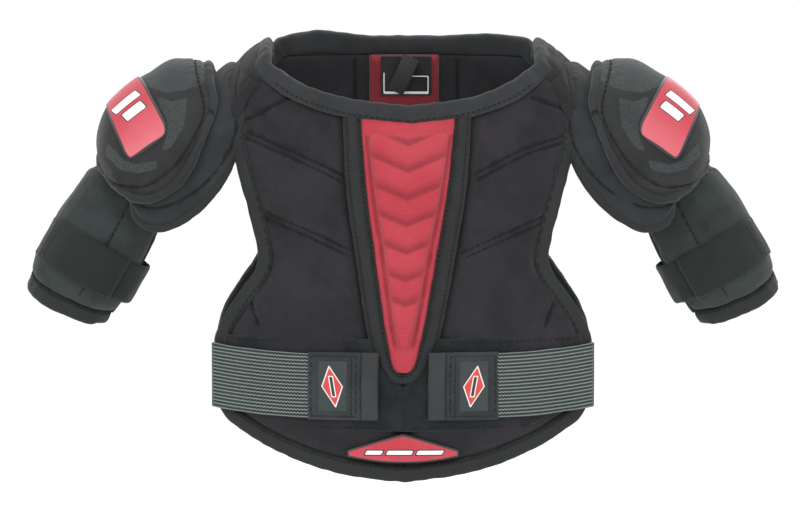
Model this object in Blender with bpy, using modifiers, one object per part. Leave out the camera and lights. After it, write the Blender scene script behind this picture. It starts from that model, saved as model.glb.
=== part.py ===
"""Youth ice hockey shoulder pads: a padded vest with a red sternum pad, domed shoulder caps, floating
biceps guards and hook-and-loop straps.

Metres, +Z up, -Y is the wearer's front, +X the wearer's left. The origin is the middle of the neck
opening at shoulder level. Each moving group hangs from an empty that stands on its joint's axis.
"""

import math

import bmesh
import bpy
import numpy as np
from mathutils import Matrix, Vector

GAP = 0.0004  # clearance between pieces that touch
SEAM = 0.0015  # wider clearance where the front swings past the yokes
TAPE_GAP = 0.0012  # clearance between a panel and the tape round it

# Torso: half depth at the middle, and how far the sides wrap back
SIDE_HALF = 0.149  # half width at the waist
WRAP_DEPTH = 0.040
WRAP_POWER = 2.2
FRONT_DEPTH = [(-0.330, 0.078), (-0.282, 0.082), (-0.210, 0.082), (-0.100, 0.079), (0.0, 0.058)]
BACK_DEPTH = [(-0.330, 0.076), (-0.280, 0.080), (-0.200, 0.082), (-0.080, 0.077), (0.012, 0.060)]

# Outlines of the vest as (z, half width) or (half width, z)
EDGE_HALF = [
    (-0.330, 0.142), (-0.262, 0.142), (-0.222, 0.143), (-0.205, 0.138), (-0.178, 0.121),
    (-0.155, 0.107), (-0.120, 0.114), (-0.091, 0.1215), (-0.057, 0.1300), (-0.022, 0.121),
    (0.012, 0.107),
]
NECKLINE = [(0.0, -0.048), (0.043, -0.0425), (0.066, -0.036), (0.086, -0.027), (0.104, -0.012)]
SHOULDER_LINE = [(0.104, -0.012), (0.119, -0.029), (0.131, -0.062)]
HEMLINE = [(0.0, -0.311), (0.0485, -0.304), (0.095, -0.288), (0.125, -0.271), (0.140, -0.262)]
BACK_TOP = [(0.0, -0.006), (0.090, -0.007), (0.106, -0.013), (0.119, -0.030), (0.131, -0.063)]
BINDING = 0.010  # width of the edge tape
NECK_TAPE = 0.013
NECK_HALF = 0.101
HEM_CORNER = -0.262  # height where the hem turns up into the side
HEM_SHARE = 0.45  # share of the edge tape that lies along the hem
STERNUM_TOP = -0.0500

# Sternum: half widths of the red pad and of the tape frame round it
PAD_HALF = [
    (-0.2385, 0.0006), (-0.225, 0.0045), (-0.199, 0.0118), (-0.151, 0.0216), (-0.091, 0.0308),
    (-0.046, 0.0350),
]
FRAME_HALF = [
    (-0.246, 0.0095), (-0.214, 0.0235), (-0.145, 0.0373), (-0.091, 0.0450), (-0.046, 0.0475),
]
PAD_TIP = -0.228
TAPE_TIP = -0.2385
FRAME_TIP = -0.2465

# Layers of the vest, out from its base surface
LINER = 0.0020
PLATE = 0.0020
CHEST_FOAM = 0.0080
STRIP = 0.0012
WEBBING = 0.0016
LABEL = 0.0008
SPINE_PAD = 0.0050
SPINE_HALF = 0.030
SPINE_PLATE_Z = (-0.245, -0.060)
SPINE_STRIP_HALF = 0.026
SPINE_STRIP_Z = (-0.250, -0.013)
LABEL_HALF = 0.019
LABEL_Z = (-0.040, -0.015)
HEM_HALF = 0.136  # half length of the tape along the back's hem
BELLY_HALF = 0.038
BELLY_Z = (-0.3030, -0.2830)
TAPE_EXTRA = 0.0015  # how much thicker the sternum's tape and pad are than the chest
NECK_EXTRA = 0.001
PLATE_TOP = -0.055
PLATE_RISE = 0.02  # how far above the pad's tip its plate starts
PLATE_SHARE = 0.9
LINER_INSET = 3 * TAPE_GAP
PANEL_INSET = 3.6 * TAPE_GAP
YOKE_THICK = 0.0060

# Waist straps
STRAP_TOP = -0.222
STRAP_LOW = -0.272
LOOP_TOP = -0.212
LOOP_LOW = -0.281
ELASTIC_END = 0.0685
TAB_END = 0.0310
PULL_END = 0.0190
STRAP_ROOT = 0.1400
STRAP_PIVOT = (0.1490, -0.0520)
TAB_EXTRA = 0.002
TAB_THICK = 0.0022
GRIP_THICK = 0.0026
HOOK_INSET = 0.002
PATCH_INSET = 0.008
PATCH_RISE = 0.004
LOOP_IN = 0.0265  # the landing strip's inner and outer end
LOOP_OUT = 0.128

# Shoulder cap: the arch over its top and its lower rim, both as (half width, z) from inner to outer
CAP_ARCH = [
    (0.1440, -0.0040), (0.1750, -0.0030), (0.1990, -0.0145), (0.2190, -0.0290), (0.2310, -0.0430),
    (0.2372, -0.0620), (0.2385, -0.0800),
]
CAP_RIM = [
    (0.1400, -0.040), (0.1560, -0.070), (0.1750, -0.098), (0.1960, -0.108), (0.2200, -0.101),
    (0.2365, -0.086),
]
CAP_HALF_DEPTH = [(0.0, 0.052), (0.3, 0.070), (0.7, 0.070), (1.0, 0.034)]
FLAP_REACH = [(0.0, 1.36), (0.3, 1.20), (0.6, 1.12), (0.85, 1.0), (1.0, 0.80)]  # 1 at the rim
CAP_LAYERS = {"cover": 0.0030, "shell": 0.0018, "foam": 0.0035, "flap": 0.0030}
CAP_GAP = 0.0015
BADGE_U = (0.40, 0.80)  # the badge's place on the cap
BADGE_V = (-0.88, -0.32)
BADGE_LIFT = 0.0010
BADGE_THICK = 0.0014
GUARD_GAP = 0.0008

# Yoke over the shoulder: arch and lower edge as (half width, z)
YOKE_ARCH = [(0.1075, 0.0080), (0.1160, 0.0010), (0.1255, -0.0070), (0.1425, -0.0085)]
YOKE_EDGE = [(0.1075, -0.010), (0.1190, -0.0245), (0.1350, -0.058)]
YOKE_HALF_DEPTH = [(0.0, 0.050), (1.0, 0.058)]

# Biceps guard, in the arm's own frame: its axis is local -Z, outward is local +X
ARM_TILT = math.radians(29.0)
ARM_PIVOT = Vector((0.176, 0.0, -0.040))
GUARD_RADIUS = [
    (-0.172, 0.0365), (-0.150, 0.0400), (-0.115, 0.0400), (-0.080, 0.0365), (-0.050, 0.0270),
]
GUARD_TOP = -0.045
GUARD_TOP_DIP = 0.025  # how much lower its top edge is on the outer side, under the cap
GUARD_LOW = -0.160
GUARD_OUT_DIP = 0.006
GUARD_DIP = 0.010  # how much lower the guard's hem is at the front and back than at its inner edges
GUARD_ARC = math.radians(132.0)
GUARD_LAYERS = {"liner": 0.0020, "plate": 0.0020, "pad": 0.0060}
BAND_TOP = -0.1145
BAND_LOW = -0.1475
BAND_START = math.radians(-12.0)
BAND_HINGE = math.radians(-128.0)
BAND_LIFT = 0.0016  # how far the bands stand off the guard
BAND_OVERLAP = 0.50  # how far round the band runs over the guard, in radians
BAND_CLEAR = 0.12  # angle between the band's end and the peeling strap's hinge
GUARD_TAPE = 0.0090

CAP_PIVOT = Vector((0.1425, 0.0, -0.0020))
FRONT_PIVOT = Vector((0.0, -0.046, -0.004))

BLACK = (0.030, 0.030, 0.034)
DARK_GREY = (0.055, 0.060, 0.062)
TAPE_GREY = (0.040, 0.044, 0.045)
ELASTIC_GREY = (0.075, 0.090, 0.090)
RED = (0.560, 0.045, 0.070)
PLASTIC_GREY = (0.300, 0.300, 0.310)

scene = bpy.context.scene
for old in list(bpy.data.objects):
    bpy.data.objects.remove(old)
parts = bpy.data.collections.new("hockey_shoulder_pads")
scene.collection.children.link(parts)


def along(points, at):
    """Value at `at` on the smooth curve through (key, value) points, which never overshoots them."""
    keys = np.array([p[0] for p in points])
    values = np.array([p[1] for p in points])
    steps = np.diff(values) / np.diff(keys)
    slopes = np.zeros(len(keys))
    slopes[0], slopes[-1] = steps[0], steps[-1]
    turning = steps[:-1] * steps[1:] > 0
    pairs = np.where(turning, steps[:-1] + steps[1:], 1.0)
    slopes[1:-1] = np.where(turning, 2 * steps[:-1] * steps[1:] / pairs, 0.0)
    at = min(max(at, keys[0]), keys[-1])
    i = min(int(np.searchsorted(keys, at, side="right")) - 1, len(keys) - 2)
    span = keys[i + 1] - keys[i]
    t = (at - keys[i]) / span
    return float(
        (2 * t**3 - 3 * t**2 + 1) * values[i]
        + (t**3 - 2 * t**2 + t) * span * slopes[i]
        + (3 * t**2 - 2 * t**3) * values[i + 1]
        + (t**3 - t**2) * span * slopes[i + 1]
    )


def path(points, share):
    """Point at a share of the way, 0 to 1, along evenly counted (half width, z) points."""
    keys = np.linspace(0, 1, len(points))
    across = along([(k, p[0]) for k, p in zip(keys, points)], share)
    height = along([(k, p[1]) for k, p in zip(keys, points)], share)
    return across, height


def mix(a, b, t):
    return a + (b - a) * t


def lifted(surface, u, v, lift):
    """Point `lift` outside a surface, along its own normal."""
    step = 1e-4
    here = surface(u, v)
    du = surface(u + step, v) - surface(u - step, v)
    dv = surface(u, v + step) - surface(u, v - step)
    normal = du.cross(dv)
    if normal.length < 1e-12:
        return here
    return here + normal.normalized() * lift


def front_surface(x, z):
    wrap = WRAP_DEPTH * (abs(x) / 0.15) ** WRAP_POWER
    return Vector((x, wrap - along(FRONT_DEPTH, z), z))


def back_surface(x, z):
    """Runs the other way round in x, so that its normal points out as the front's does."""
    wrap = WRAP_DEPTH * (abs(x) / 0.15) ** WRAP_POWER
    return Vector((-x, along(BACK_DEPTH, z) - wrap, z))


def saddle(arch, edge, half_depth):
    """A surface over the shoulder: u runs outward, v from -1 at the front edge to 1 behind."""

    def point(u, v):
        top = path(arch, u)
        low = path(edge, u)
        turn = min(abs(v), 1.0) * math.pi / 2
        fall = 1 - math.cos(turn) + max(0.0, abs(v) - 1) * math.pi / 2
        reach = along(half_depth, u) * math.copysign(math.sin(turn), v)
        return Vector((mix(top[0], low[0], fall), reach, mix(top[1], low[1], fall)))

    return point


cap_surface = saddle(CAP_ARCH, CAP_RIM, CAP_HALF_DEPTH)
yoke_surface = saddle(YOKE_ARCH, YOKE_EDGE, YOKE_HALF_DEPTH)


def arm_surface(angle, z):
    """Tapered tube round the arm, in the arm's frame; angle 0 is outward and -90 degrees the front."""
    radius = along(GUARD_RADIUS, z)
    return Vector((radius * math.cos(angle), radius * math.sin(angle), z))


def material(name, colour, roughness):
    made = bpy.data.materials.new(name)
    made.use_nodes = True
    shader = made.node_tree.nodes["Principled BSDF"]
    shader.inputs["Base Color"].default_value = (*colour, 1)
    shader.inputs["Roughness"].default_value = roughness
    shader.inputs["Metallic"].default_value = 0.0
    return made


def empty(name, location, tilt=0.0, parent=None):
    made = bpy.data.objects.new(name, None)
    made.location = location
    made.rotation_euler = (0, tilt, 0)
    made.parent = parent
    if parent is not None:
        made.matrix_parent_inverse = parent_world(parent).inverted()
    parts.objects.link(made)
    return made


def parent_world(obj):
    """World matrix worked out through the parents, before the scene updates."""
    local = Matrix.LocRotScale(obj.location, obj.rotation_euler, None)
    if obj.parent is None:
        return local
    return parent_world(obj.parent) @ obj.matrix_parent_inverse @ local


def skin(name, parent, point, steps, thickness, colour, roughness=0.85, mirrored=False):
    """A grid thickened outward; point(s, t), with s and t from 0 to 1, gives its world places."""
    mesh = bpy.data.meshes.new(name)
    bm = bmesh.new()
    bmesh.ops.create_grid(bm, x_segments=steps[0], y_segments=steps[1], size=1.0)
    to_local = parent_world(parent).inverted()
    for vert in bm.verts:
        place = point((vert.co.x + 1) / 2, (vert.co.y + 1) / 2)
        if mirrored:
            place = Vector((-place.x, place.y, place.z))
        vert.co = to_local @ place
    if mirrored:
        bmesh.ops.reverse_faces(bm, faces=bm.faces)
    bm.to_mesh(mesh)
    bm.free()
    mesh.shade_smooth()
    obj = bpy.data.objects.new(name, mesh)
    obj.parent = parent
    parts.objects.link(obj)
    thicken = obj.modifiers.new("thickness", "SOLIDIFY")
    thicken.thickness = thickness
    thicken.offset = 1.0
    mesh.materials.append(material(name, colour, roughness))
    return obj


def torso_panel(surface, left, right, low, top, lift):
    """Maps a unit square to a panel between two side lines, x of z, and two height lines, z of x."""

    def height(line, s):
        z = line(mix(left(0), right(0), s))
        for _ in range(8):
            z = line(mix(left(z), right(z), s))
        return z

    def point(s, t):
        z = mix(height(low, s), height(top, s), t)
        return lifted(surface, mix(left(z), right(z), s), z, lift)

    return point


def torso_band(surface, x_from, x_to, z_low, z_high, lift):
    """A rectangle on a torso surface."""
    return torso_panel(
        surface, lambda z: x_from, lambda z: x_to, lambda x: z_low, lambda x: z_high, lift
    )


def chest_top(x):
    x = abs(x)
    return along(NECKLINE, x) if x <= NECKLINE[-1][0] else along(SHOULDER_LINE, x)


def hemline(x):
    return along(HEMLINE, abs(x))


def panel_edge(z):
    """Half width of the vest's panels, inside the edge tape."""
    return along(EDGE_HALF, z) - BINDING


def pad_half(z):
    return along(PAD_HALF, z)


def frame_half(z):
    return along(FRAME_HALF, z)


root = empty("back_body", (0, 0, 0))
front = empty("front_body", FRONT_PIVOT, parent=root)


def back_parts():
    """Back half: lining, padded panel, spine protection, label, hang loop and edge tapes."""

    def edge(z):
        return along(EDGE_HALF, z) - TAPE_GAP

    def low(x):
        return hemline(x)

    def top(x):
        return along(BACK_TOP, abs(x)) - TAPE_GAP

    def whole(lift):
        return torso_panel(back_surface, lambda z: -edge(z), edge, low, top, lift)

    skin("back_liner", root, whole(0.0), (18, 10), LINER, BLACK)
    skin("back_panel", root, whole(LINER + PLATE + 2 * GAP), (18, 10), CHEST_FOAM, BLACK)
    spine = torso_band(back_surface, -SPINE_HALF, SPINE_HALF, *SPINE_PLATE_Z, LINER + GAP)
    skin("spine_plate", root, spine, (4, 6), PLATE, PLASTIC_GREY, 0.4)
    strip = torso_band(
        back_surface, -SPINE_STRIP_HALF, SPINE_STRIP_HALF, *SPINE_STRIP_Z, -SPINE_PAD - GAP
    )
    skin("spine_pad", root, strip, (6, 6), SPINE_PAD, RED)
    label = torso_band(
        back_surface, -LABEL_HALF, LABEL_HALF, *LABEL_Z, -SPINE_PAD - 4 * GAP - LABEL
    )
    skin("size_label", root, label, (2, 1), LABEL, BLACK)
    skin("hang_loop", root, hang_loop_point, (1, 10), LABEL, DARK_GREY)
    neck = torso_panel(
        back_surface, lambda z: -NECK_HALF, lambda z: NECK_HALF,
        lambda x: along(BACK_TOP, abs(x)), lambda x: along(BACK_TOP, abs(x)) + NECK_TAPE, LINER,
    )
    skin("back_neck_tape", root, neck, (16, 1), CHEST_FOAM, TAPE_GREY)
    hem = torso_panel(
        back_surface, lambda z: -HEM_HALF, lambda z: HEM_HALF,
        lambda x: hemline(x) - BINDING, lambda x: hemline(x) - TAPE_GAP, LINER,
    )
    skin("back_hem_tape", root, hem, (16, 1), CHEST_FOAM, TAPE_GREY)


def hang_loop_point(s, t):
    """A ribbon arch inside the back of the neck, with both ends at the lining."""
    angle = math.pi * t
    x = mix(-0.004, 0.004, s) + 0.010 * math.cos(angle)
    z = -0.013 - 0.020 * math.sin(angle)
    return lifted(back_surface, x, z, -SPINE_PAD - 0.0045 - 0.0035 * math.sin(angle))


def front_parts():
    """Front half, all but the two chest panels: lining, sternum pad and plate, tapes and badge."""

    def edge(z):
        return panel_edge(z) - LINER_INSET

    liner = torso_panel(
        front_surface, lambda z: -edge(z), edge, lambda x: hemline(x) + LINER_INSET,
        lambda x: chest_top(x) - SEAM, 0.0,
    )
    skin("front_liner", front, liner, (20, 10), LINER, BLACK)
    plate = torso_panel(
        front_surface, lambda z: -PLATE_SHARE * pad_half(z), lambda z: PLATE_SHARE * pad_half(z),
        lambda x: PAD_TIP + PLATE_RISE, lambda x: PLATE_TOP, LINER + 2 * GAP,
    )
    skin("sternum_plate", front, plate, (4, 6), PLATE, PLASTIC_GREY, 0.4)
    pad = torso_panel(
        front_surface, lambda z: GAP - pad_half(z), lambda z: pad_half(z) - GAP,
        lambda x: PAD_TIP, lambda x: STERNUM_TOP, LINER + PLATE + 4 * GAP,
    )
    skin("sternum_pad", front, pad, (6, 12), CHEST_FOAM + TAPE_EXTRA, RED, 0.75)
    skin("sternum_tape", front, sternum_tape_point, (2, 24), CHEST_FOAM + TAPE_EXTRA, TAPE_GREY)
    neck = torso_panel(
        front_surface, lambda z: -NECK_HALF, lambda z: NECK_HALF,
        lambda x: along(NECKLINE, abs(x)), lambda x: along(NECKLINE, abs(x)) + NECK_TAPE, LINER - NECK_EXTRA,
    )
    skin("front_neck_tape", front, neck, (20, 1), CHEST_FOAM + NECK_EXTRA, TAPE_GREY)
    skin("front_edge_tape", front, edge_tape_point, (1, 44), CHEST_FOAM, TAPE_GREY)
    badge = torso_band(
        front_surface, -BELLY_HALF, BELLY_HALF, *BELLY_Z, LINER + 3 * GAP + CHEST_FOAM
    )
    skin("belly_badge", front, badge, (4, 1), BADGE_THICK, RED)


def sternum_tape_point(s, t):
    """A V of tape: t runs down one side, round the tip and up the other; s runs from pad to outside."""
    turn = abs(2 * t - 1)
    sign = 1 if t > 0.5 else -1
    z_in = mix(TAPE_TIP, STERNUM_TOP, turn)
    z_out = mix(FRAME_TIP, STERNUM_TOP, turn)
    x_in = pad_half(z_in) + 0.001 if turn > 0 else 0.0
    x_out = frame_half(z_out) if turn > 0 else 0.0
    return lifted(front_surface, sign * mix(x_in, x_out, s), mix(z_in, z_out, s), LINER + GAP)


def edge_tape_point(s, t):
    """Edge tape of the front: down one armhole, round the hem and up the other."""
    sweep = 2 * t - 1
    sign = 1 if sweep > 0 else -1
    share = abs(sweep)
    lift = LINER
    if share > HEM_SHARE:
        z = mix(HEM_CORNER, -0.066, (share - HEM_SHARE) / (1 - HEM_SHARE))
        x = sign * mix(panel_edge(z), along(EDGE_HALF, z), s)
        return lifted(front_surface, x, z, lift)
    share /= HEM_SHARE
    x = (panel_edge(HEM_CORNER) + 0.003) * share
    drop = BINDING * s
    return lifted(front_surface, sign * (x + drop * share), hemline(x) - drop * (1 - share), lift)


def side_parts(side, mirrored):
    """The yoke over one shoulder and the elastic web round that side of the waist."""

    def yoke(s, t):
        return yoke_surface(s, mix(-1, 1, t))

    skin(side + "_yoke", root, yoke, (4, 12), YOKE_THICK, BLACK, mirrored=mirrored)
    skin(side + "_side_web", root, side_web_point, (8, 1), WEBBING, ELASTIC_GREY, mirrored=mirrored)


def side_web_point(s, t):
    """Elastic web round the waist, from the back panel's side edge to the strap's root."""
    angle = mix(-math.pi / 2, math.pi / 2, s)
    x = SIDE_HALF + 0.003 * math.cos(angle)
    return Vector((x, 0.045 * math.sin(angle), mix(STRAP_LOW, STRAP_TOP, t)))


def chest_parts(side, mirrored):
    """One chest panel and the hook-and-loop landing strip across its foot."""

    def inner(z):
        return frame_half(z) + TAPE_GAP if z > FRAME_TIP + 0.001 else GAP

    panel = torso_panel(
        front_surface, inner, lambda z: panel_edge(z) - PANEL_INSET,
        lambda x: hemline(x) + LINER_INSET, lambda x: chest_top(x) - SEAM, LINER + GAP,
    )
    skin(side + "_chest_panel", front, panel, (8, 18), CHEST_FOAM, BLACK, mirrored=mirrored)
    loop = torso_band(front_surface, LOOP_IN, LOOP_OUT, LOOP_LOW, LOOP_TOP, LINER + 3 * GAP + CHEST_FOAM)
    skin(side + "_waist_loop", front, loop, (6, 1), STRIP, DARK_GREY, mirrored=mirrored)


def strap_parts(side, mirrored):
    """The front half of a waist strap, with its hook patch, badge patch and grip."""
    sign = -1 if mirrored else 1
    body = empty(side + "_waist_strap_body", (sign * STRAP_PIVOT[0], STRAP_PIVOT[1], 0), parent=front)
    hook_lift = LINER + CHEST_FOAM + STRIP + 5 * GAP
    lift = hook_lift + STRIP + GAP
    tab_low = STRAP_LOW - TAB_EXTRA
    tab_high = STRAP_TOP + TAB_EXTRA
    for name, x_from, x_to, low, high, at, steps, thickness, colour in (
        ("elastic", ELASTIC_END, STRAP_ROOT, STRAP_LOW, STRAP_TOP, lift, (8, 1), WEBBING, ELASTIC_GREY),
        ("tab", TAB_END, ELASTIC_END - GAP, tab_low, tab_high, lift, (3, 1), TAB_THICK, DARK_GREY),
        ("hook", TAB_END + HOOK_INSET, ELASTIC_END - HOOK_INSET, STRAP_LOW, STRAP_TOP, hook_lift,
         (3, 1), STRIP, BLACK),
        ("patch", TAB_END + PATCH_INSET, ELASTIC_END - PATCH_INSET, STRAP_LOW + PATCH_RISE,
         STRAP_TOP - PATCH_RISE, lift + TAB_THICK + GAP, (3, 1), LABEL, DARK_GREY),
        ("grip", PULL_END, TAB_END - GAP, tab_low, tab_high, lift, (1, 1), GRIP_THICK, DARK_GREY),
    ):
        shape = torso_band(front_surface, x_from, x_to, low, high, at)
        skin(side + "_strap_" + name, body, shape, steps, thickness, colour, mirrored=mirrored)


def cap_parts(side, mirrored):
    """The shoulder cap: cover, plastic cup, foam and the larger flap, nested one in the other."""
    sign = -1 if mirrored else 1
    body = empty(side + "_shoulder_body", (sign * CAP_PIVOT.x, 0, CAP_PIVOT.z), parent=root)
    depth = 0.0
    for layer, inner, inset, reach, colour, roughness in (
        ("cover", 0.08, 0.0, None, BLACK, 0.85),
        ("shell", 0.12, 0.05, None, PLASTIC_GREY, 0.35),
        ("foam", 0.10, 0.04, None, DARK_GREY, 0.9),
        ("flap", 0.0, 0.055, FLAP_REACH, BLACK, 0.85),
    ):
        thickness = CAP_LAYERS[layer]
        depth += thickness + CAP_GAP
        shape = cap_layer(inner, inset, reach, depth)
        skin(side + "_cap_" + layer, body, shape, (8, 16), thickness, colour, roughness, mirrored=mirrored)

    def badge(s, t):
        return lifted(cap_surface, mix(*BADGE_U, s), mix(*BADGE_V, t), BADGE_LIFT)

    skin(side + "_cap_badge", body, badge, (4, 6), BADGE_THICK, RED, 0.5, mirrored=mirrored)
    return body


def cap_layer(inner, inset, reach, depth):
    def point(s, t):
        u = mix(inner, 1 - inset, s)
        limit = along(reach, u) if reach else 1 - inset
        return lifted(cap_surface, u, mix(-limit, limit, t), -depth)

    return point


def guard_hem(angle):
    """Lowest z of the guard at an angle round the arm."""
    return GUARD_LOW - GUARD_DIP * abs(math.sin(angle)) - GUARD_OUT_DIP * max(0.0, math.cos(angle))


def guard_top(angle):
    return GUARD_TOP - GUARD_TOP_DIP * max(0.0, math.cos(angle))


def round_arm(lift, angle_from, angle_to, low, top):
    """Maps a unit square to a piece round the wearer's left arm, in world places."""
    world = Matrix.LocRotScale(ARM_PIVOT, Matrix.Rotation(-ARM_TILT, 3, "Y").to_quaternion(), None)

    def point(s, t):
        angle = mix(angle_from, angle_to, s)
        return world @ lifted(arm_surface, angle, mix(low(angle), top(angle), t), lift)

    return point


def biceps_parts(side, mirrored, shoulder):
    """The guard round the upper arm, the elastic that closes it and the strap end that peels off."""
    sign = -1 if mirrored else 1
    body = empty(side + "_biceps_body", (sign * ARM_PIVOT.x, 0, ARM_PIVOT.z), -sign * ARM_TILT, shoulder)
    lift = -sum(GUARD_LAYERS.values()) - 2 * GUARD_GAP
    for layer, steps, shorten, colour in (
        ("liner", 14, 0.0, BLACK), ("plate", 8, 0.020, PLASTIC_GREY), ("pad", 14, 0.0, BLACK),
    ):
        arc = GUARD_ARC * steps / 14
        low = lambda angle: guard_hem(angle) + shorten
        top = lambda angle: guard_top(angle) - shorten
        thickness = GUARD_LAYERS[layer]
        shape = round_arm(lift, -arc, arc, low, top)
        skin(side + "_biceps_" + layer, body, shape, (steps, 5), thickness, colour, mirrored=mirrored)
        lift += thickness + GUARD_GAP
    hem_low = lambda angle: guard_hem(angle) - BINDING
    hem_high = lambda angle: guard_hem(angle) - TAPE_GAP
    tape = round_arm(-GUARD_TAPE - GAP, -GUARD_ARC, GUARD_ARC, hem_low, hem_high)
    skin(side + "_biceps_tape", body, tape, (14, 1), GUARD_TAPE, TAPE_GREY, mirrored=mirrored)

    band_low = lambda angle: BAND_LOW
    band_top = lambda angle: BAND_TOP
    outside = BAND_LIFT
    band_end = 2 * math.pi + BAND_HINGE - BAND_CLEAR
    band = round_arm(outside, GUARD_ARC - BAND_OVERLAP, band_end, band_low, band_top)
    skin(side + "_arm_band", body, band, (10, 1), WEBBING, ELASTIC_GREY, mirrored=mirrored)
    hinge = round_arm(outside, BAND_HINGE, BAND_HINGE, band_low, band_top)(0, 0.5)
    strap = empty(side + "_arm_strap_body", (sign * hinge.x, hinge.y, hinge.z), parent=body)
    over = outside + STRIP + GUARD_GAP
    for name, angle_from, angle_to, at, steps, thickness, colour in (
        ("hook", BAND_START - 0.75, BAND_START - 0.10, outside - 0.0006, 4, STRIP, BLACK),
        ("strap", BAND_HINGE + 0.03, BAND_START - 0.16, over, 10, WEBBING, ELASTIC_GREY),
        ("grip", BAND_START - 0.15, BAND_START + 0.12, over, 2, TAB_THICK, DARK_GREY),
    ):
        shape = round_arm(at, angle_from, angle_to, band_low, band_top)
        skin(side + "_arm_" + name, strap, shape, (steps, 1), thickness, colour, mirrored=mirrored)


back_parts()
front_parts()
for side, mirrored in (("left", False), ("right", True)):
    side_parts(side, mirrored)
    chest_parts(side, mirrored)
    strap_parts(side, mirrored)
    shoulder = cap_parts(side, mirrored)
    biceps_parts(side, mirrored, shoulder)
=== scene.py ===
"""Looks of the youth hockey shoulder pads: quilted cloth, tapes, stitching, straps, caps and guards.

Metres, in the part's own frame: +Z up, -Y the wearer's front, +X the wearer's left.
"""

import math

import bmesh
import bpy
import numpy as np
from mathutils import Matrix, Vector
from mathutils.bvhtree import BVHTree
from mathutils.kdtree import KDTree


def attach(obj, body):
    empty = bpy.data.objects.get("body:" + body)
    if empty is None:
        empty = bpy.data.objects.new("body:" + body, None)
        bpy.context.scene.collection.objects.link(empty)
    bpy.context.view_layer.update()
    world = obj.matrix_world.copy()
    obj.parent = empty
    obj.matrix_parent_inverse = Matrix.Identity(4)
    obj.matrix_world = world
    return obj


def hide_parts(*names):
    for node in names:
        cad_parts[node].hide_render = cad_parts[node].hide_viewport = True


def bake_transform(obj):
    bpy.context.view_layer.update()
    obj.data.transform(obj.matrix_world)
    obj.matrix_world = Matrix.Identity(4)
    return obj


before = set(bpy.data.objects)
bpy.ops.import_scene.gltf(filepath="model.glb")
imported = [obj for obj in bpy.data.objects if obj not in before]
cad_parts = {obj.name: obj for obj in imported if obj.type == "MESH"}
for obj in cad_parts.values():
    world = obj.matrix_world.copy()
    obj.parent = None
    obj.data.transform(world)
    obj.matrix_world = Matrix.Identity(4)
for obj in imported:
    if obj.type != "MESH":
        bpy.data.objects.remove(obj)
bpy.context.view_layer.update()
scene = bpy.context.scene

# ---------------------------------------------------------------- sizes of the part

MM = 0.001
WRAP_DEPTH = 0.040
FRONT_DEPTH = [(-0.330, 0.078), (-0.282, 0.082), (-0.210, 0.082), (-0.100, 0.079), (0.0, 0.058)]
BACK_DEPTH = [(-0.330, 0.076), (-0.280, 0.080), (-0.200, 0.082), (-0.080, 0.077), (0.012, 0.060)]
EDGE_HALF = [
    (-0.330, 0.142), (-0.262, 0.142), (-0.222, 0.143), (-0.205, 0.138), (-0.178, 0.121),
    (-0.155, 0.107), (-0.120, 0.114), (-0.091, 0.1215), (-0.057, 0.1300), (-0.022, 0.121),
    (0.012, 0.107),
]
NECKLINE = [(0.0, -0.048), (0.043, -0.0425), (0.066, -0.036), (0.086, -0.027), (0.104, -0.012)]
SHOULDER_LINE = [(0.104, -0.012), (0.119, -0.029), (0.131, -0.062)]
HEMLINE = [(0.0, -0.311), (0.0485, -0.304), (0.095, -0.288), (0.125, -0.271), (0.140, -0.262)]
BACK_TOP = [(0.0, -0.006), (0.090, -0.007), (0.106, -0.013), (0.119, -0.030), (0.131, -0.063)]
PAD_HALF = [
    (-0.2385, 0.0006), (-0.2365, 0.0050), (-0.2320, 0.0080), (-0.221, 0.0108), (-0.199, 0.0148),
    (-0.151, 0.0222), (-0.091, 0.0308), (-0.046, 0.0350),
]
FRAME_HALF = [
    (-0.2480, 0.0006), (-0.2460, 0.0080), (-0.240, 0.0137), (-0.2335, 0.0181), (-0.2235, 0.0228),
    (-0.213, 0.0258), (-0.145, 0.0373), (-0.091, 0.0450), (-0.046, 0.0475),
]
CAP_ARCH = [
    (0.1440, -0.0040), (0.1750, -0.0030), (0.1990, -0.0145), (0.2190, -0.0290), (0.2310, -0.0430),
    (0.2372, -0.0620), (0.2385, -0.0800),
]
CAP_RIM = [
    (0.1400, -0.040), (0.1560, -0.070), (0.1750, -0.098), (0.1960, -0.108), (0.2200, -0.101),
    (0.2365, -0.086),
]
CAP_HALF_DEPTH = [(0.0, 0.052), (0.3, 0.070), (0.7, 0.070), (1.0, 0.034)]
FLAP_ARCH = [
    (0.1235, -0.0075), (0.1330, -0.0085), (0.1450, -0.0160), (0.1600, -0.0190), (0.1750, -0.0190),
    (0.1900, -0.0290), (0.2000, -0.0410), (0.2050, -0.0550), (0.2070, -0.0700),
]
FLAP_EDGE = [
    (0.1235, -0.0520), (0.1330, -0.0790), (0.1470, -0.1020), (0.1680, -0.1210), (0.1860, -0.1285),
    (0.1990, -0.1260), (0.2065, -0.1160), (0.2085, -0.1040),
]
FLAP_HALF_DEPTH = [(0.0, 0.050), (0.3, 0.060), (0.6, 0.063), (0.85, 0.056), (1.0, 0.046)]
COLLAR_ARCH = [(0.1065, 0.0080), (0.1155, 0.0018), (0.1250, -0.0075), (0.1330, -0.0120)]
COLLAR_EDGE = [(0.1065, -0.0130), (0.1190, -0.0275), (0.1265, -0.0440), (0.1320, -0.0600)]
COLLAR_HALF_DEPTH = [(0.0, 0.047), (1.0, 0.050)]
GUARD_RADIUS = [
    (-0.172, 0.0365), (-0.150, 0.0400), (-0.115, 0.0400), (-0.080, 0.0365), (-0.050, 0.0270),
]
ARM_TILT = math.radians(29.0)
ARM_PIVOT = Vector((0.176, 0.0, -0.040))
GUARD_ARC = math.radians(132.0)
GUARD_WRAP = math.radians(156.0)  # how far the soft cuff reaches round, each way
GUARD_SEAM = math.radians(96.0)
BAND_START = math.radians(-22.0)
BAND_HINGE = math.radians(-128.0)
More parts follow.
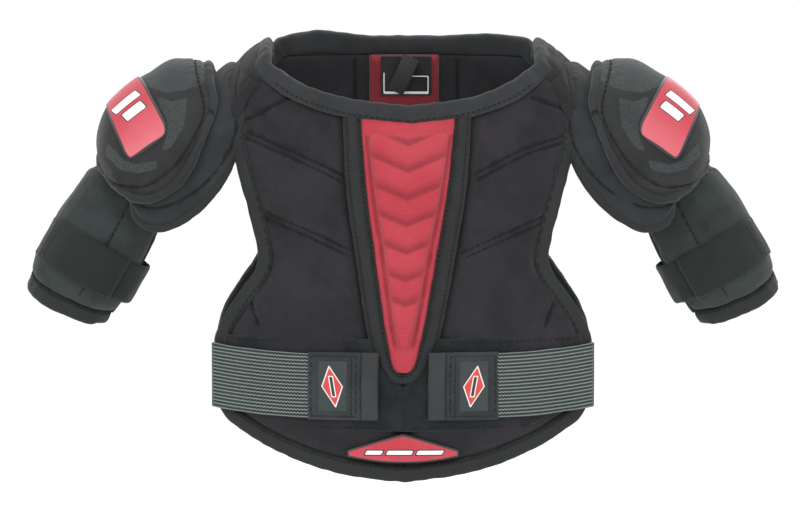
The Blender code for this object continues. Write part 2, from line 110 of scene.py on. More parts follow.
BAND_TOP = -0.1190
BAND_LOW = -0.1520
STRAP_TOP = -0.222
STRAP_LOW = -0.272
STRAP_RISE = 0.005  # how much higher the elastic ends at the side
TIP_Z = -0.2465  # tip of the V of tape
LEAN = 0.0046  # how far the middle of the front leans towards the wearer's left
LEAN_HEIGHT = 0.200  # the height over which the lean grows to that
EDGE_INSET = 4.0 * MM
SIDE_X = 0.140  # where the waist elastic meets the side seam
STRAP_MIDDLE = -0.247
TORSO_CENTRE = (0, 0, -0.15)
CAP_CENTRE = (0.175, 0, -0.09)
FLAP_CENTRE = (0.170, 0, -0.10)
COLLAR_CENTRE = (0.125, 0, -0.06)
FRONT_LINING_FLAT = (0.283, 0.277)
BACK_LINING_FLAT = (0.283, 0.311)
LINE_STEP = 1.5 * MM

# ---------------------------------------------------------------- curves and surfaces


def along(points, at):
    """Smooth curve through (key, value) points that never overshoots them."""
    keys = np.array([p[0] for p in points], float)
    values = np.array([p[1] for p in points], float)
    steps = np.diff(values) / np.diff(keys)
    slopes = np.zeros(len(keys))
    slopes[0], slopes[-1] = steps[0], steps[-1]
    turning = steps[:-1] * steps[1:] > 0
    pairs = np.where(turning, steps[:-1] + steps[1:], 1.0)
    slopes[1:-1] = np.where(turning, 2 * steps[:-1] * steps[1:] / pairs, 0.0)
    at = np.clip(np.asarray(at, float), keys[0], keys[-1])
    i = np.clip(np.searchsorted(keys, at, side="right") - 1, 0, len(keys) - 2)
    span = keys[i + 1] - keys[i]
    t = (at - keys[i]) / span
    return (
        (2 * t**3 - 3 * t**2 + 1) * values[i]
        + (t**3 - 2 * t**2 + t) * span * slopes[i]
        + (3 * t**2 - 2 * t**3) * values[i + 1]
        + (t**3 - t**2) * span * slopes[i + 1]
    )


def path(points, share):
    keys = np.linspace(0, 1, len(points))
    across = along([(k, p[0]) for k, p in zip(keys, points)], share)
    height = along([(k, p[1]) for k, p in zip(keys, points)], share)
    return across, height


def mix(a, b, t):
    return a + (b - a) * t


def stack(x, y, z):
    x, y, z = np.broadcast_arrays(x, y, z)
    return np.stack([x, y, z], axis=-1).astype(float)


def wrap(x):
    return WRAP_DEPTH * (np.abs(x) / 0.15) ** 2.2


def front_point(x, z, side=1):
    # the red cushion and its tape lean a little to the wearer's left at the top
    x = x + side * LEAN * np.clip((z - TIP_Z) / LEAN_HEIGHT, 0, 1) * np.exp(-((x / 0.075) ** 2))
    return stack(x, wrap(x) - along(FRONT_DEPTH, z), z)


def leaning(side):
    """The front's surface, for a piece that is built on the left and mirrored to a side."""
    return lambda x, z: front_point(x, z, side)


def back_point(x, z):
    return stack(x, along(BACK_DEPTH, z) - wrap(x), z)


def saddle(arch, edge, half_depth):
    def point(u, v):
        top = path(arch, u)
        low = path(edge, u)
        turn = np.minimum(np.abs(v), 1.0) * math.pi / 2
        fall = 1 - np.cos(turn) + np.maximum(0.0, np.abs(v) - 1) * math.pi / 2
        reach = along(half_depth, u) * np.sign(v) * np.sin(turn)
        return stack(mix(top[0], low[0], fall), reach, mix(top[1], low[1], fall))

    return point


cap_point = saddle(CAP_ARCH, CAP_RIM, CAP_HALF_DEPTH)
collar_point = saddle(COLLAR_ARCH, COLLAR_EDGE, COLLAR_HALF_DEPTH)
flap_point = saddle(FLAP_ARCH, FLAP_EDGE, FLAP_HALF_DEPTH)
ARM_WORLD = np.array(
    Matrix.LocRotScale(ARM_PIVOT, Matrix.Rotation(-ARM_TILT, 3, "Y").to_quaternion(), None)
)


def arm_point(angle, z):
    radius = along(GUARD_RADIUS, z)
    local = stack(radius * np.cos(angle), radius * np.sin(angle), z)
    return local @ ARM_WORLD[:3, :3].T + ARM_WORLD[:3, 3]


def chest_top(x):
    x = np.abs(x)
    return np.where(x <= NECKLINE[-1][0], along(NECKLINE, x), along(SHOULDER_LINE, x))


def hemline(x):
    return along(HEMLINE, np.abs(x))


def edge_half(z):
    return along(EDGE_HALF, z)


def back_top(x):
    return along(BACK_TOP, np.abs(x))


def patch(point, left, right, low, top):
    """Unit square to a part of the torso between two side lines and two height lines."""

    def height(line, s):
        z = line(mix(left(0 * s - 0.15), right(0 * s - 0.15), s))
        for _ in range(10):
            z = line(mix(left(z), right(z), s))
        return z

    def place(s, t):
        z = mix(height(low, s), height(top, s), t)
        return point(mix(left(z), right(z), s), z)

    return place


def band(point, x0, x1, z0, z1):
    return patch(point, lambda z: x0 + 0 * z, lambda z: x1 + 0 * z, lambda x: z0 + 0 * x,
                 lambda x: z1 + 0 * x)


# ---------------------------------------------------------------- noise, distances, grids

rng = np.random.default_rng(7)
WAVES = rng.normal(size=(14, 3))
WAVES /= np.linalg.norm(WAVES, axis=1, keepdims=True)
PHASES = rng.uniform(0, 2 * math.pi, 14)
SIZES = rng.uniform(0.6, 1.6, 14)


def noise(points, size):
    """Smooth repeatable noise, about -1 to 1, with features of that size in metres."""
    turns = (points @ WAVES.T) * (2 * math.pi / size) * SIZES + PHASES
    return np.sin(turns).sum(axis=-1) / 4.0


measured = {}


def far_from(points, lines):
    """Distance from each point to the nearest of some lines of points."""
    key = (len(points), points[::97].tobytes(), tuple(line.tobytes() for line in lines))
    if measured.get("key") == key:
        return measured["distance"]
    dense = np.concatenate([resample(line, 0.5 * MM) for line in lines])
    tree = KDTree(len(dense))
    for number, place in enumerate(dense.tolist()):
        tree.insert(place, number)
    tree.balance()
    distance = np.array([tree.find(place)[2] for place in points.tolist()])
    measured["key"], measured["distance"] = key, distance
    return distance


def resample(line, step):
    line = np.asarray(line, float)
    at = lengths(line)
    count = max(2, int(round(at[-1] / step)) + 1)
    want = np.linspace(0, at[-1], count)
    return np.stack([np.interp(want, at, line[:, k]) for k in range(line.shape[1])], axis=1)


def smooth_line(line, rounds):
    line = np.array(line, float)
    for _ in range(rounds):
        middle = line.copy()
        middle[1:-1] = (line[:-2] + 2 * line[1:-1] + line[2:]) / 4
        line = middle
    return line


def unit(v):
    return v / np.maximum(np.linalg.norm(v, axis=-1, keepdims=True), 1e-12)


def lengths(line):
    """How far along a line each of its points is."""
    return np.concatenate([[0], np.cumsum(np.linalg.norm(np.diff(line, axis=0), axis=1))])


def mirrored(points, side):
    return points * np.array([side, 1.0, 1.0])


def pillow(distance, radius):
    """0 at the edge to 1 at a radius inside it, on a quarter circle."""
    return np.sqrt(np.maximum(0.0, 1 - (1 - np.clip(distance / radius, 0, 1)) ** 2))


def step_up(x):
    x = np.clip(x, 0, 1)
    return x * x * (3 - 2 * x)


class Grid:
    """A sheet of points on a base surface, with its normals and its lengths both ways."""

    def __init__(self, point, width, height, step=2.5 * MM, centre=TORSO_CENTRE, side=1):
        nu = max(4, int(round(width / step)) + 1)
        nv = max(4, int(round(height / step)) + 1)
        s, t = np.meshgrid(np.linspace(0, 1, nu), np.linspace(0, 1, nv), indexing="ij")
        self.s, self.t = s, t
        self.point, self.side, self.centre = point, side, np.array(centre, float)
        self.P = mirrored(point(s, t), side)
        self.N = self.normals(self.P)
        self.A = np.zeros((nu, nv))
        self.A[1:] = np.cumsum(np.linalg.norm(np.diff(self.P, axis=0), axis=2), axis=0)
        self.B = np.zeros((nu, nv))
        self.B[:, 1:] = np.cumsum(np.linalg.norm(np.diff(self.P, axis=1), axis=2), axis=1)
        self.du = np.minimum(self.A, self.A[-1:] - self.A)
        self.dv = np.minimum(self.B, self.B[:, -1:] - self.B)
        self.d = np.minimum(self.du, self.dv)

    def normals(self, P):
        n = unit(np.cross(np.gradient(P, axis=0), np.gradient(P, axis=1)))
        if (n * (P - self.centre * np.array([self.side, 1, 1]))).sum() < 0:
            n = -n
        return n


def put(mesh, name, kind, values):
    attribute = mesh.attributes.get(name) or mesh.attributes.new(name, kind, "POINT")
    key = "vector" if kind == "FLOAT_VECTOR" else "value"
    attribute.data.foreach_set(key, np.ascontiguousarray(values, np.float32).ravel())


def vectors(mesh, source, key):
    values = np.zeros(len(mesh.vertices) * 3, np.float32)
    source.foreach_get(key, values)
    return values.reshape(-1, 3).astype(float)


def take(mesh, name):
    return vectors(mesh, mesh.attributes[name].data, "vector")


def coordinates(mesh):
    return vectors(mesh, mesh.vertices, "co")


def set_coordinates(mesh, co):
    mesh.vertices.foreach_set("co", np.ascontiguousarray(co, np.float32).ravel())
    mesh.update()


def vertex_normals(mesh):
    return vectors(mesh, mesh.vertex_normals, "vector")


def new_object(name, verts, faces, material=None):
    mesh = bpy.data.meshes.new(name)
    mesh.from_pydata([tuple(v) for v in verts], [], [tuple(int(i) for i in f) for f in faces])
    bm = bmesh.new()
    bm.from_mesh(mesh)
    bmesh.ops.recalc_face_normals(bm, faces=bm.faces)
    bm.to_mesh(mesh)
    bm.free()
    mesh.shade_smooth()
    obj = bpy.data.objects.new(name, mesh)
    scene.collection.objects.link(obj)
    if material is not None:
        mesh.materials.append(material)
    return obj


def shell(name, grid, outer, inner, material):
    """A closed skin over a grid: outer and inner are lifts from its base surface."""
    outer = np.broadcast_to(outer, grid.A.shape)
    inner = np.broadcast_to(inner, grid.A.shape)
    nu, nv = grid.A.shape
    top = (grid.P + grid.N * outer[..., None]).reshape(-1, 3)
    low = (grid.P + grid.N * inner[..., None]).reshape(-1, 3)
    n = nu * nv
    i = np.arange(n).reshape(nu, nv)
    over = np.stack([i[:-1, :-1], i[1:, :-1], i[1:, 1:], i[:-1, 1:]], -1).reshape(-1, 4)
    loop = np.concatenate([i[:-1, 0], i[-1, :-1], i[:0:-1, -1], i[0, :0:-1]])
    after = np.roll(loop, -1)
    rim = np.stack([loop, after, after + n, loop + n], -1)
    faces = np.concatenate([over, over[:, ::-1] + n, rim])
    obj = new_object(name, np.concatenate([top, low]), faces, material)
    base = grid.P.reshape(-1, 3)
    put(obj.data, "base", "FLOAT_VECTOR", np.concatenate([base, base]))
    face = np.concatenate([np.ones(n), np.zeros(n)])
    cloth = np.stack([np.tile(grid.A.ravel(), 2), np.tile(grid.B.ravel(), 2), face], 1)
    put(obj.data, "cloth", "FLOAT_VECTOR", cloth)
    edge = np.stack([np.tile(grid.d.ravel(), 2), np.tile(grid.s.ravel(), 2),
                     np.tile(grid.t.ravel(), 2)], 1)
    put(obj.data, "edge", "FLOAT_VECTOR", edge)
    return obj


def puff(obj, pinned, pressure=3.0, cap=0.003, frames=8, shrink=-0.015):
    """Cloth simulation: the free face swells between what is sewn down."""
    rest = coordinates(obj.data)
    group = obj.vertex_groups.new(name="sewn")
    pinned = np.clip(pinned, 0, 1)
    for weight in np.unique(np.round(pinned, 1)):
        if weight > 0:
            group.add([int(k) for k in np.nonzero(np.round(pinned, 1) == weight)[0]],
                      float(weight), "REPLACE")
    cloth = obj.modifiers.new("cloth", "CLOTH")
    settings = cloth.settings
    settings.quality = 3
    settings.mass = 0.2
    settings.tension_stiffness = 12
    settings.compression_stiffness = 12
    settings.bending_stiffness = 0.4
    settings.use_pressure = True
    settings.uniform_pressure_force = 2.5 * pressure
    settings.vertex_group_mass = "sewn"
    settings.shrink_min = shrink
    settings.effector_weights.gravity = 0.0
    cloth.collision_settings.use_self_collision = False
    cloth.point_cache.frame_start = 1
    cloth.point_cache.frame_end = frames
    for number in range(1, frames + 1):
        scene.frame_set(number)
    depsgraph = bpy.context.evaluated_depsgraph_get()
    swollen = coordinates(obj.evaluated_get(depsgraph).data)
    obj.modifiers.remove(cloth)
    obj.vertex_groups.remove(group)
    scene.frame_set(1)
    move = np.nan_to_num(swollen - rest)
    far = np.linalg.norm(move, axis=1, keepdims=True)
    soft = cap * np.tanh(far / cap)
    set_coordinates(obj.data, rest + move * soft / np.maximum(far, 1e-9))


def held(grid, margin, fade, sewn=0.0):
    """How firmly each point is held: the edge, the sewn channels and the whole inner face."""
    outer = np.maximum(np.clip(1 - (grid.d - margin) / fade, 0, 1), np.clip(-sewn * 1.4, 0, 1))
    return np.concatenate([outer.ravel(), np.ones(grid.d.size)])


def refine(obj):
    """Applies one level of subdivision, keeping the attributes."""
    modifier = obj.modifiers.new("round", "SUBSURF")
    modifier.levels = modifier.render_levels = 1
    depsgraph = bpy.context.evaluated_depsgraph_get()
    mesh = bpy.data.meshes.new_from_object(
        obj.evaluated_get(depsgraph), preserve_all_data_layers=True, depsgraph=depsgraph
    )
    obj.modifiers.clear()
    old = obj.data
    obj.data = mesh
    bpy.data.meshes.remove(old)
    mesh.name = obj.name
    mesh.shade_smooth()


def emboss(obj, height, inner=False):
    """Moves the outer or inner face along its normals by height(base points, cloth, edge)."""
    mesh = obj.data
    co, n = coordinates(mesh), vertex_normals(mesh)
    base, cloth, edge = take(mesh, "base"), take(mesh, "cloth"), take(mesh, "edge")
    face = 1 - cloth[:, 2] if inner else cloth[:, 2]
    move = height(base, cloth, edge) * step_up(face * 1.5)
    set_coordinates(mesh, co + n * move[:, None])
    # painted shade: how deep each point sinks, which the materials use to darken grooves as if in
    # shadow
    put(mesh, "painted_groove_shade", "FLOAT", np.clip((-move - 0.2 * MM) / (1.0 * MM), 0, 1))


def groove(base, lines, depth, width):
    """A sewn channel: how far the cloth is pulled down near each line."""
    return -depth * np.exp(-((far_from(base, lines) / width) ** 2))


def puckers(base, lines, reach, size, height):
    """Small gathers beside a seam, strongest next to it."""
    return height * np.exp(-((far_from(base, lines) / reach) ** 2)) * noise(base, size)


# ---------------------------------------------------------------- thread


threads = {}
trees = {}
RAY_START = 0.03
RAY_REACH = 0.05
STITCH_RINGS = ((0.0, 0.35), (0.18, 0.85), (0.5, 1.0), (0.82, 0.85), (1.0, 0.35))  # share, size
STITCH_SIDES = 6
FINE_STITCH = {"length": 2.0 * MM, "gap": 1.2 * MM, "radius": 0.34 * MM}
RED_STITCH = {"colour": "thread_red", "radius": 0.3 * MM}


def sew(obj, body, line, normal, colour="thread_dark", length=3.0 * MM, gap=1.5 * MM,
        radius=0.52 * MM, sink=0.1 * MM):
    """A row of stitches laid on a piece along a line of base points with their normals."""
    if trees.get("of") != obj.name:
        bm = bmesh.new()
        bm.from_mesh(obj.data)
        trees["of"], trees["tree"] = obj.name, BVHTree.FromBMesh(bm)
        bm.free()
    tree = trees["tree"]
    line = np.asarray(line, float)
    normal = np.asarray(normal, float)
    joined = resample(np.concatenate([line, normal], axis=1), 0.5 * MM)
    at = lengths(joined[:, :3])
    bag = threads.setdefault((body, colour), ([], []))
    start = gap
    while start + length < at[-1]:
        places, ups = [], []
        for share, _ in STITCH_RINGS:
            number = int(round((start + share * length) / at[-1] * (len(at) - 1)))
            p = joined[min(len(joined) - 1, number)]
            up = Vector(p[3:]).normalized()
            hit = tree.ray_cast(Vector(p[:3]) + up * RAY_START, -up, RAY_REACH)
            if hit[0] is None:
                break
            dip = sink * 3 if share in (0, 1) else sink
            places.append(hit[0] + up * (radius * 0.45 - dip))
            ups.append(up)
        start += length + gap
        if len(places) < len(STITCH_RINGS):
            continue
        tangent = (places[-1] - places[0]).normalized()
        first = len(bag[0])
        for place, up, (_, size) in zip(places, ups, STITCH_RINGS):
            across = tangent.cross(up).normalized()
            for k in range(STITCH_SIDES):
                turn = k * 2 * math.pi / STITCH_SIDES
                out = across * math.cos(turn) + up * math.sin(turn)
                bag[0].append(place + out * radius * size)
        for start_of_ring in range(first, len(bag[0]) - STITCH_SIDES, STITCH_SIDES):
            for k in range(STITCH_SIDES):
                a = start_of_ring + k
                b = start_of_ring + (k + 1) % STITCH_SIDES
                bag[1].append((a, b, b + STITCH_SIDES, a + STITCH_SIDES))
        bag[1].append(tuple(range(first + STITCH_SIDES - 1, first - 1, -1)))
        bag[1].append(tuple(range(len(bag[0]) - STITCH_SIDES, len(bag[0]))))


def make_threads():
    for (body, colour), (verts, faces) in threads.items():
        name = "stitching_" + body + "_" + colour.split("_")[1]
        obj = new_object(name, verts, faces, materials[colour])
        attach(obj, body)


# ---------------------------------------------------------------- tapes and cords of cloth


def tape(name, line, normal, half, thick, material, rounds=14, wave=0.25 * MM, square=0.62):
    """A flattened tube of folded tape along a line, slightly gathered, with closed ends."""
    line = np.asarray(line, float)
    normal = unit(np.asarray(normal, float))
    tangent = unit(np.gradient(line, axis=0))
    across = unit(np.cross(tangent, normal))
    count = len(line)
    half = np.broadcast_to(half, count)
    thick = np.broadcast_to(thick, count)
    at = lengths(line)
    turn = np.linspace(0, 2 * math.pi, rounds, endpoint=False)
    c = np.sign(np.cos(turn)) * np.abs(np.cos(turn)) ** square
    s = np.sign(np.sin(turn)) * np.abs(np.sin(turn)) ** square
    P = (
        line[:, None]
        + across[:, None] * (half[:, None] * c)[..., None]
        + normal[:, None] * (thick[:, None] / 2 * s)[..., None]
    )
    out = unit(across[:, None] * c[None, :, None] + normal[:, None] * s[None, :, None])
    P = P + out * (noise(P, 0.013) * wave)[..., None]
    verts = P.reshape(-1, 3)
    i = np.arange(count * rounds).reshape(count, rounds)
    j = np.roll(i, -1, axis=1)
    sides = np.stack([i[:-1], i[1:], j[1:], j[:-1]], -1).reshape(-1, 4).tolist()
    faces = sides + [i[0].tolist(), i[-1][::-1].tolist()]
    obj = new_object(name, verts, faces, material)
    put(obj.data, "base", "FLOAT_VECTOR", np.repeat(line, rounds, axis=0))
    around = turn[None, :] / (2 * math.pi) * 2 * (half + thick)[:, None]
    cloth = np.stack([np.repeat(at, rounds), around.ravel(), np.tile((s > -0.2) * 1.0, count)], 1)
    put(obj.data, "cloth", "FLOAT_VECTOR", cloth)
    put(obj.data, "edge", "FLOAT_VECTOR", np.zeros((len(verts), 3)))
    refine(obj)
    return obj


def surface_line(point, pairs, side=1, centre=TORSO_CENTRE, step=1.5 * MM, lift=0.0):
    """Points and normals on a base surface along a path given by its two coordinates."""
    fine = resample(np.asarray(pairs, float), step)
    e = 1e-4
    here = point(fine[:, 0], fine[:, 1])
    du = point(fine[:, 0] + e, fine[:, 1]) - point(fine[:, 0] - e, fine[:, 1])
    dv = point(fine[:, 0], fine[:, 1] + e) - point(fine[:, 0], fine[:, 1] - e)
    n = unit(np.cross(du, dv))
    facing = ((here - np.array(centre)) * n).sum(1)
    n = np.where(facing[:, None] < 0, -n, n)
    return mirrored(here + n * lift, side), mirrored(n, side)


# ---------------------------------------------------------------- materials


# colour of the painted shade that sewn channels and grooves are darkened towards
CHANNEL_SHADOW = (0.004, 0.004, 0.005)


class Shade:
    """Short ways to add nodes to one material."""

    def __init__(self, name, roughness=0.8, sheen=0.0, coat=0.0, specular=0.5, metallic=0.0):
        self.material = bpy.data.materials.new(name)
        self.material.use_nodes = True
        self.tree = self.material.node_tree
        self.shader = self.tree.nodes["Principled BSDF"]
        self.shader.inputs["Roughness"].default_value = roughness
        self.shader.inputs["Metallic"].default_value = metallic
        self.shader.inputs["Sheen Weight"].default_value = sheen
        self.shader.inputs["Sheen Roughness"].default_value = 0.45
        self.shader.inputs["Coat Weight"].default_value = coat
        self.shader.inputs["Specular IOR Level"].default_value = specular

    def feed(self, socket, value):
        if isinstance(value, bpy.types.NodeSocket):
            self.tree.links.new(value, socket)
        else:
            socket.default_value = value

    def maths(self, operation, a, b=0.0, c=0.0, clamp=False):
        node = self.tree.nodes.new("ShaderNodeMath")
        node.operation = operation
        node.use_clamp = clamp
        for socket, value in zip(node.inputs, (a, b, c)):
            self.feed(socket, value)
        return node.outputs[0]

    def attribute(self, name):
        node = self.tree.nodes.new("ShaderNodeAttribute")
        node.attribute_name = name
        split = self.tree.nodes.new("ShaderNodeSeparateXYZ")
        self.tree.links.new(node.outputs["Vector"], split.inputs[0])
        return split.outputs[0], split.outputs[1], split.outputs[2]

    def number(self, name):
        node = self.tree.nodes.new("ShaderNodeAttribute")
        node.attribute_name = name
        return node.outputs["Fac"]

    def place(self):
        return self.tree.nodes.new("ShaderNodeTexCoord").outputs["Object"]

    def mottle(self, scale, detail=3.0, rough=0.6):
        node = self.tree.nodes.new("ShaderNodeTexNoise")
        self.tree.links.new(self.place(), node.inputs["Vector"])
        node.inputs["Scale"].default_value = scale
        node.inputs["Detail"].default_value = detail
        node.inputs["Roughness"].default_value = rough
        return node.outputs["Fac"]

    def ramp(self, value, low, high, to_low=0.0, to_high=1.0, smooth=True):
        node = self.tree.nodes.new("ShaderNodeMapRange")
        node.interpolation_type = "SMOOTHSTEP" if smooth else "LINEAR"
        for socket, number in zip(node.inputs[:5], (value, low, high, to_low, to_high)):
            self.feed(socket, number)
        return node.outputs[0]

    def blend(self, share, a, b):
        node = self.tree.nodes.new("ShaderNodeMix")
        node.data_type = "RGBA"
        self.feed(node.inputs["Factor"], share)
        for key, value in (("A", a), ("B", b)):
            socket = [k for k in node.inputs if k.name == key and k.type == "RGBA"][0]
            self.feed(socket, value if isinstance(value, bpy.types.NodeSocket) else (*value, 1))
        return [k for k in node.outputs if k.type == "RGBA"][0]

    def wave(self, value, period, phase=0.0):
        return self.maths("SINE", self.maths("MULTIPLY_ADD", value, 2 * math.pi / period, phase))

    def finish(self, colour, height=None, distance=0.2 * MM, strength=0.6, roughness=None,
               painted_groove_shade=0.0):
        if painted_groove_shade:  # painted shade: sewn channels and grooves are darkened in the colour to stand in for their shadow
            share = self.maths("MULTIPLY", self.number("painted_groove_shade"), painted_groove_shade)
            colour = self.blend(share, colour, CHANNEL_SHADOW)
        self.feed(self.shader.inputs["Base Color"], colour)
        if roughness is not None:
            self.feed(self.shader.inputs["Roughness"], roughness)
        if height is not None:
            bump = self.tree.nodes.new("ShaderNodeBump")
            bump.inputs["Strength"].default_value = strength
            bump.inputs["Distance"].default_value = distance
            self.feed(bump.inputs["Height"], height)
            self.tree.links.new(bump.outputs[0], self.shader.inputs["Normal"])
        return self.material


def linear(*screen):
    """Linear colour of an 8-bit screen colour."""
    return tuple(((c / 255 + 0.055) / 1.055) ** 2.4 if c > 10 else c / 3294.6 for c in screen)


def woven(name, dark, light, pitch=1.1 * MM, sheen=0.12, depth=0.16 * MM, diagonal=False,
          roughness=0.85, fuzz=0.5, wear=None):
    """Cloth: crossing yarns, uneven dye and a little fluff."""
    m = Shade(name, roughness=roughness, sheen=sheen, specular=0.25)
    a, b, _ = m.attribute("cloth")
    if diagonal:
        a, b = m.maths("ADD", a, b), m.maths("SUBTRACT", a, b)
        pitch = pitch * 1.4
    over = m.wave(a, pitch)
    under = m.wave(b, pitch * 0.9)
    yarn = m.maths("MULTIPLY", over, under)
    fluff = m.mottle(900.0, 2.0)
    height = m.maths("MULTIPLY_ADD", yarn, 0.5, m.maths("MULTIPLY", fluff, fuzz))
    patches = m.mottle(26.0, 4.0, 0.65)
    shade = m.maths("MULTIPLY_ADD", yarn, 0.16, m.ramp(patches, 0.3, 0.7, 0.15, 0.75))
    shade = m.maths("ADD", shade, m.maths("MULTIPLY_ADD", fluff, 0.5, -0.25), clamp=True)
    colour = m.blend(shade, linear(*dark), linear(*light))
    if wear is not None:
        rub = m.ramp(m.mottle(60.0, 5.0, 0.7), 0.62, 0.78, 0.0, 0.5)
        colour = m.blend(rub, colour, linear(*wear))
    rough = m.ramp(patches, 0.3, 0.7, roughness - 0.06, min(1.0, roughness + 0.08))
    return m.finish(colour, height, depth, 0.7, rough, painted_groove_shade=0.75)


def ribbed(name, dark, light, period=1.6 * MM, lengthwise=True, roughness=0.7, sheen=0.10,
           depth=0.22 * MM):
    """Woven tape or webbing with ribs across it or along it."""
    m = Shade(name, roughness=roughness, sheen=sheen, specular=0.3)
    a, b, _ = m.attribute("cloth")
    ribs = m.wave(a if lengthwise else b, period)
    yarn = m.wave(b if lengthwise else a, 0.7 * MM)
    twill = m.wave(m.maths("ADD", a, b), 1.3 * MM)
    fluff = m.mottle(1100.0, 2.0)
    height = m.maths("ADD", m.maths("MULTIPLY", ribs, 0.4), m.maths("MULTIPLY", yarn, 0.2))
    height = m.maths("ADD", height, m.maths("MULTIPLY", twill, 0.2))
    height = m.maths("MULTIPLY_ADD", fluff, 0.5, height)
    patches = m.mottle(34.0, 4.0, 0.6)
    shade = m.maths("MULTIPLY_ADD", ribs, 0.14, m.ramp(patches, 0.3, 0.7, 0.2, 0.7))
    shade = m.maths("ADD", shade, m.maths("MULTIPLY_ADD", fluff, 0.4, -0.2), clamp=True)
    rough = m.ramp(patches, 0.3, 0.7, roughness - 0.06, roughness + 0.08)
    colour = m.blend(shade, linear(*dark), linear(*light))
    return m.finish(colour, height, depth, 0.7, rough, painted_groove_shade=0.75)


def red_cloth(name="red_knit", shade=1.0):
    """Red knitted mesh: slanting rows of small open cells."""

    # shade below 1 darkens every colour, which gives a copy of the knit with painted shade
    def red(*screen):
        return linear(*(c * shade for c in screen))

    m = Shade(name, roughness=0.72, sheen=0.25, specular=0.3)
    a, b, _ = m.attribute("cloth")
    p = m.wave(m.maths("ADD", a, m.maths("MULTIPLY", b, 0.6)), 1.5 * MM)
    q = m.wave(m.maths("SUBTRACT", a, m.maths("MULTIPLY", b, 0.6)), 1.5 * MM)
    cell = m.maths("MULTIPLY", p, q)
    holes = m.ramp(cell, 0.1, 0.7)
    fluff = m.mottle(900.0, 2.0)
    patches = m.mottle(24.0, 3.0)
    colour = m.blend(holes, red(181, 54, 67), red(126, 22, 35))
    colour = m.blend(m.ramp(patches, 0.3, 0.75, 0.0, 0.35), colour, red(191, 72, 83))
    height = m.maths("MULTIPLY_ADD", fluff, 0.4, m.maths("MULTIPLY", cell, -0.5))
    return m.finish(colour, height, 0.25 * MM, 0.7, painted_groove_shade=0.6)


def striped_elastic():
    """Dark elastic with thin grey zigzag stripes along it."""
    m = Shade("striped_elastic", roughness=0.75, sheen=0.2, specular=0.3)
    a, b, _ = m.attribute("cloth")
    zigzag = m.maths("PINGPONG", m.maths("MULTIPLY", a, 1 / (1.25 * MM)), 1.0)
    slanted = m.maths("MULTIPLY_ADD", zigzag, 0.85 * MM, b)
    row = m.maths("PINGPONG", m.maths("MULTIPLY", slanted, 1 / (1.36 * MM)), 1.0)
    stripe = m.ramp(row, 0.64, 0.80)
    fluff = m.mottle(1000.0, 2.0)
    patches = m.mottle(40.0, 3.0)
    grey = m.blend(fluff, linear(96, 109, 105), linear(153, 164, 160))
    dark = m.blend(patches, linear(24, 32, 33), linear(42, 52, 52))
    yarn = m.wave(a, 0.8 * MM)
    height = m.maths("ADD", m.maths("MULTIPLY", row, 0.6), m.maths("MULTIPLY", yarn, 0.15))
    height = m.maths("MULTIPLY_ADD", fluff, 0.3, height)
    return m.finish(m.blend(stripe, dark, grey), height, 0.35 * MM, 0.8)


def hooks(name, dark, light, period):
    """Hook-and-loop: a dense field of small loops."""
    m = Shade(name, roughness=0.95, sheen=0.18, specular=0.2)
    node = m.tree.nodes.new("ShaderNodeTexVoronoi")
    m.tree.links.new(m.place(), node.inputs["Vector"])
    node.inputs["Scale"].default_value = 1 / period
    cell = node.outputs["Distance"]
    fluff = m.mottle(1500.0, 3.0)
    patches = m.mottle(50.0, 4.0, 0.7)
    shade = m.maths("ADD", m.maths("MULTIPLY", fluff, 0.7), m.ramp(patches, 0.3, 0.7, -0.2, 0.3),
                    clamp=True)
    height = m.maths("MULTIPLY_ADD", fluff, 0.7, m.maths("MULTIPLY", cell, -0.8))
    return m.finish(m.blend(shade, linear(*dark), linear(*light)), height, 0.5 * MM, 0.9)


def moulded(name, dark, light, roughness=0.45, grain=700.0, depth=0.08 * MM, coat=0.1):
    """Moulded plastic or rubber with a fine grain and scuffs."""
    m = Shade(name, roughness=roughness, coat=coat)
    grains = m.mottle(grain, 2.0)
    scuffs = m.mottle(90.0, 6.0, 0.75)
    colour = m.blend(m.ramp(scuffs, 0.35, 0.75), dark, light)
    rough = m.ramp(scuffs, 0.3, 0.8, roughness - 0.08, roughness + 0.2)
    return m.finish(colour, grains, depth, 0.5, rough)


def cap_cloth():
    """Cover of the cap: dark knit with lighter printed zones, read from the zone attribute."""
    m = Shade("cap_cloth", roughness=0.8, sheen=0.12, specular=0.3)
    a, b, _ = m.attribute("cloth")
    zone = m.number("zone")
    over, under = m.wave(a, 1.1 * MM), m.wave(b, 1.0 * MM)
    yarn = m.maths("MULTIPLY", over, under)
    fluff = m.mottle(1000.0, 2.0)
    patches = m.mottle(30.0, 4.0, 0.65)
    shade = m.maths("ADD", m.ramp(patches, 0.3, 0.7, 0.1, 0.8),
                    m.maths("MULTIPLY_ADD", fluff, 0.5, -0.25), clamp=True)
    ground = m.blend(shade, linear(28, 28, 30), linear(44, 45, 46))
    specks = m.ramp(m.mottle(2200.0, 1.0), 0.42, 0.62)
    printed = m.blend(specks, linear(34, 39, 40), linear(70, 75, 75))
    colour = m.blend(m.ramp(zone, -0.25 * MM, 0.25 * MM), ground, printed)
    height = m.maths("MULTIPLY_ADD", yarn, 0.4, m.maths("MULTIPLY", fluff, 0.5))
    height = m.maths("ADD", height, m.ramp(zone, -0.3 * MM, 0.3 * MM, 0.0, 0.8))
    return m.finish(colour, height, 0.16 * MM, 0.7, painted_groove_shade=0.7)


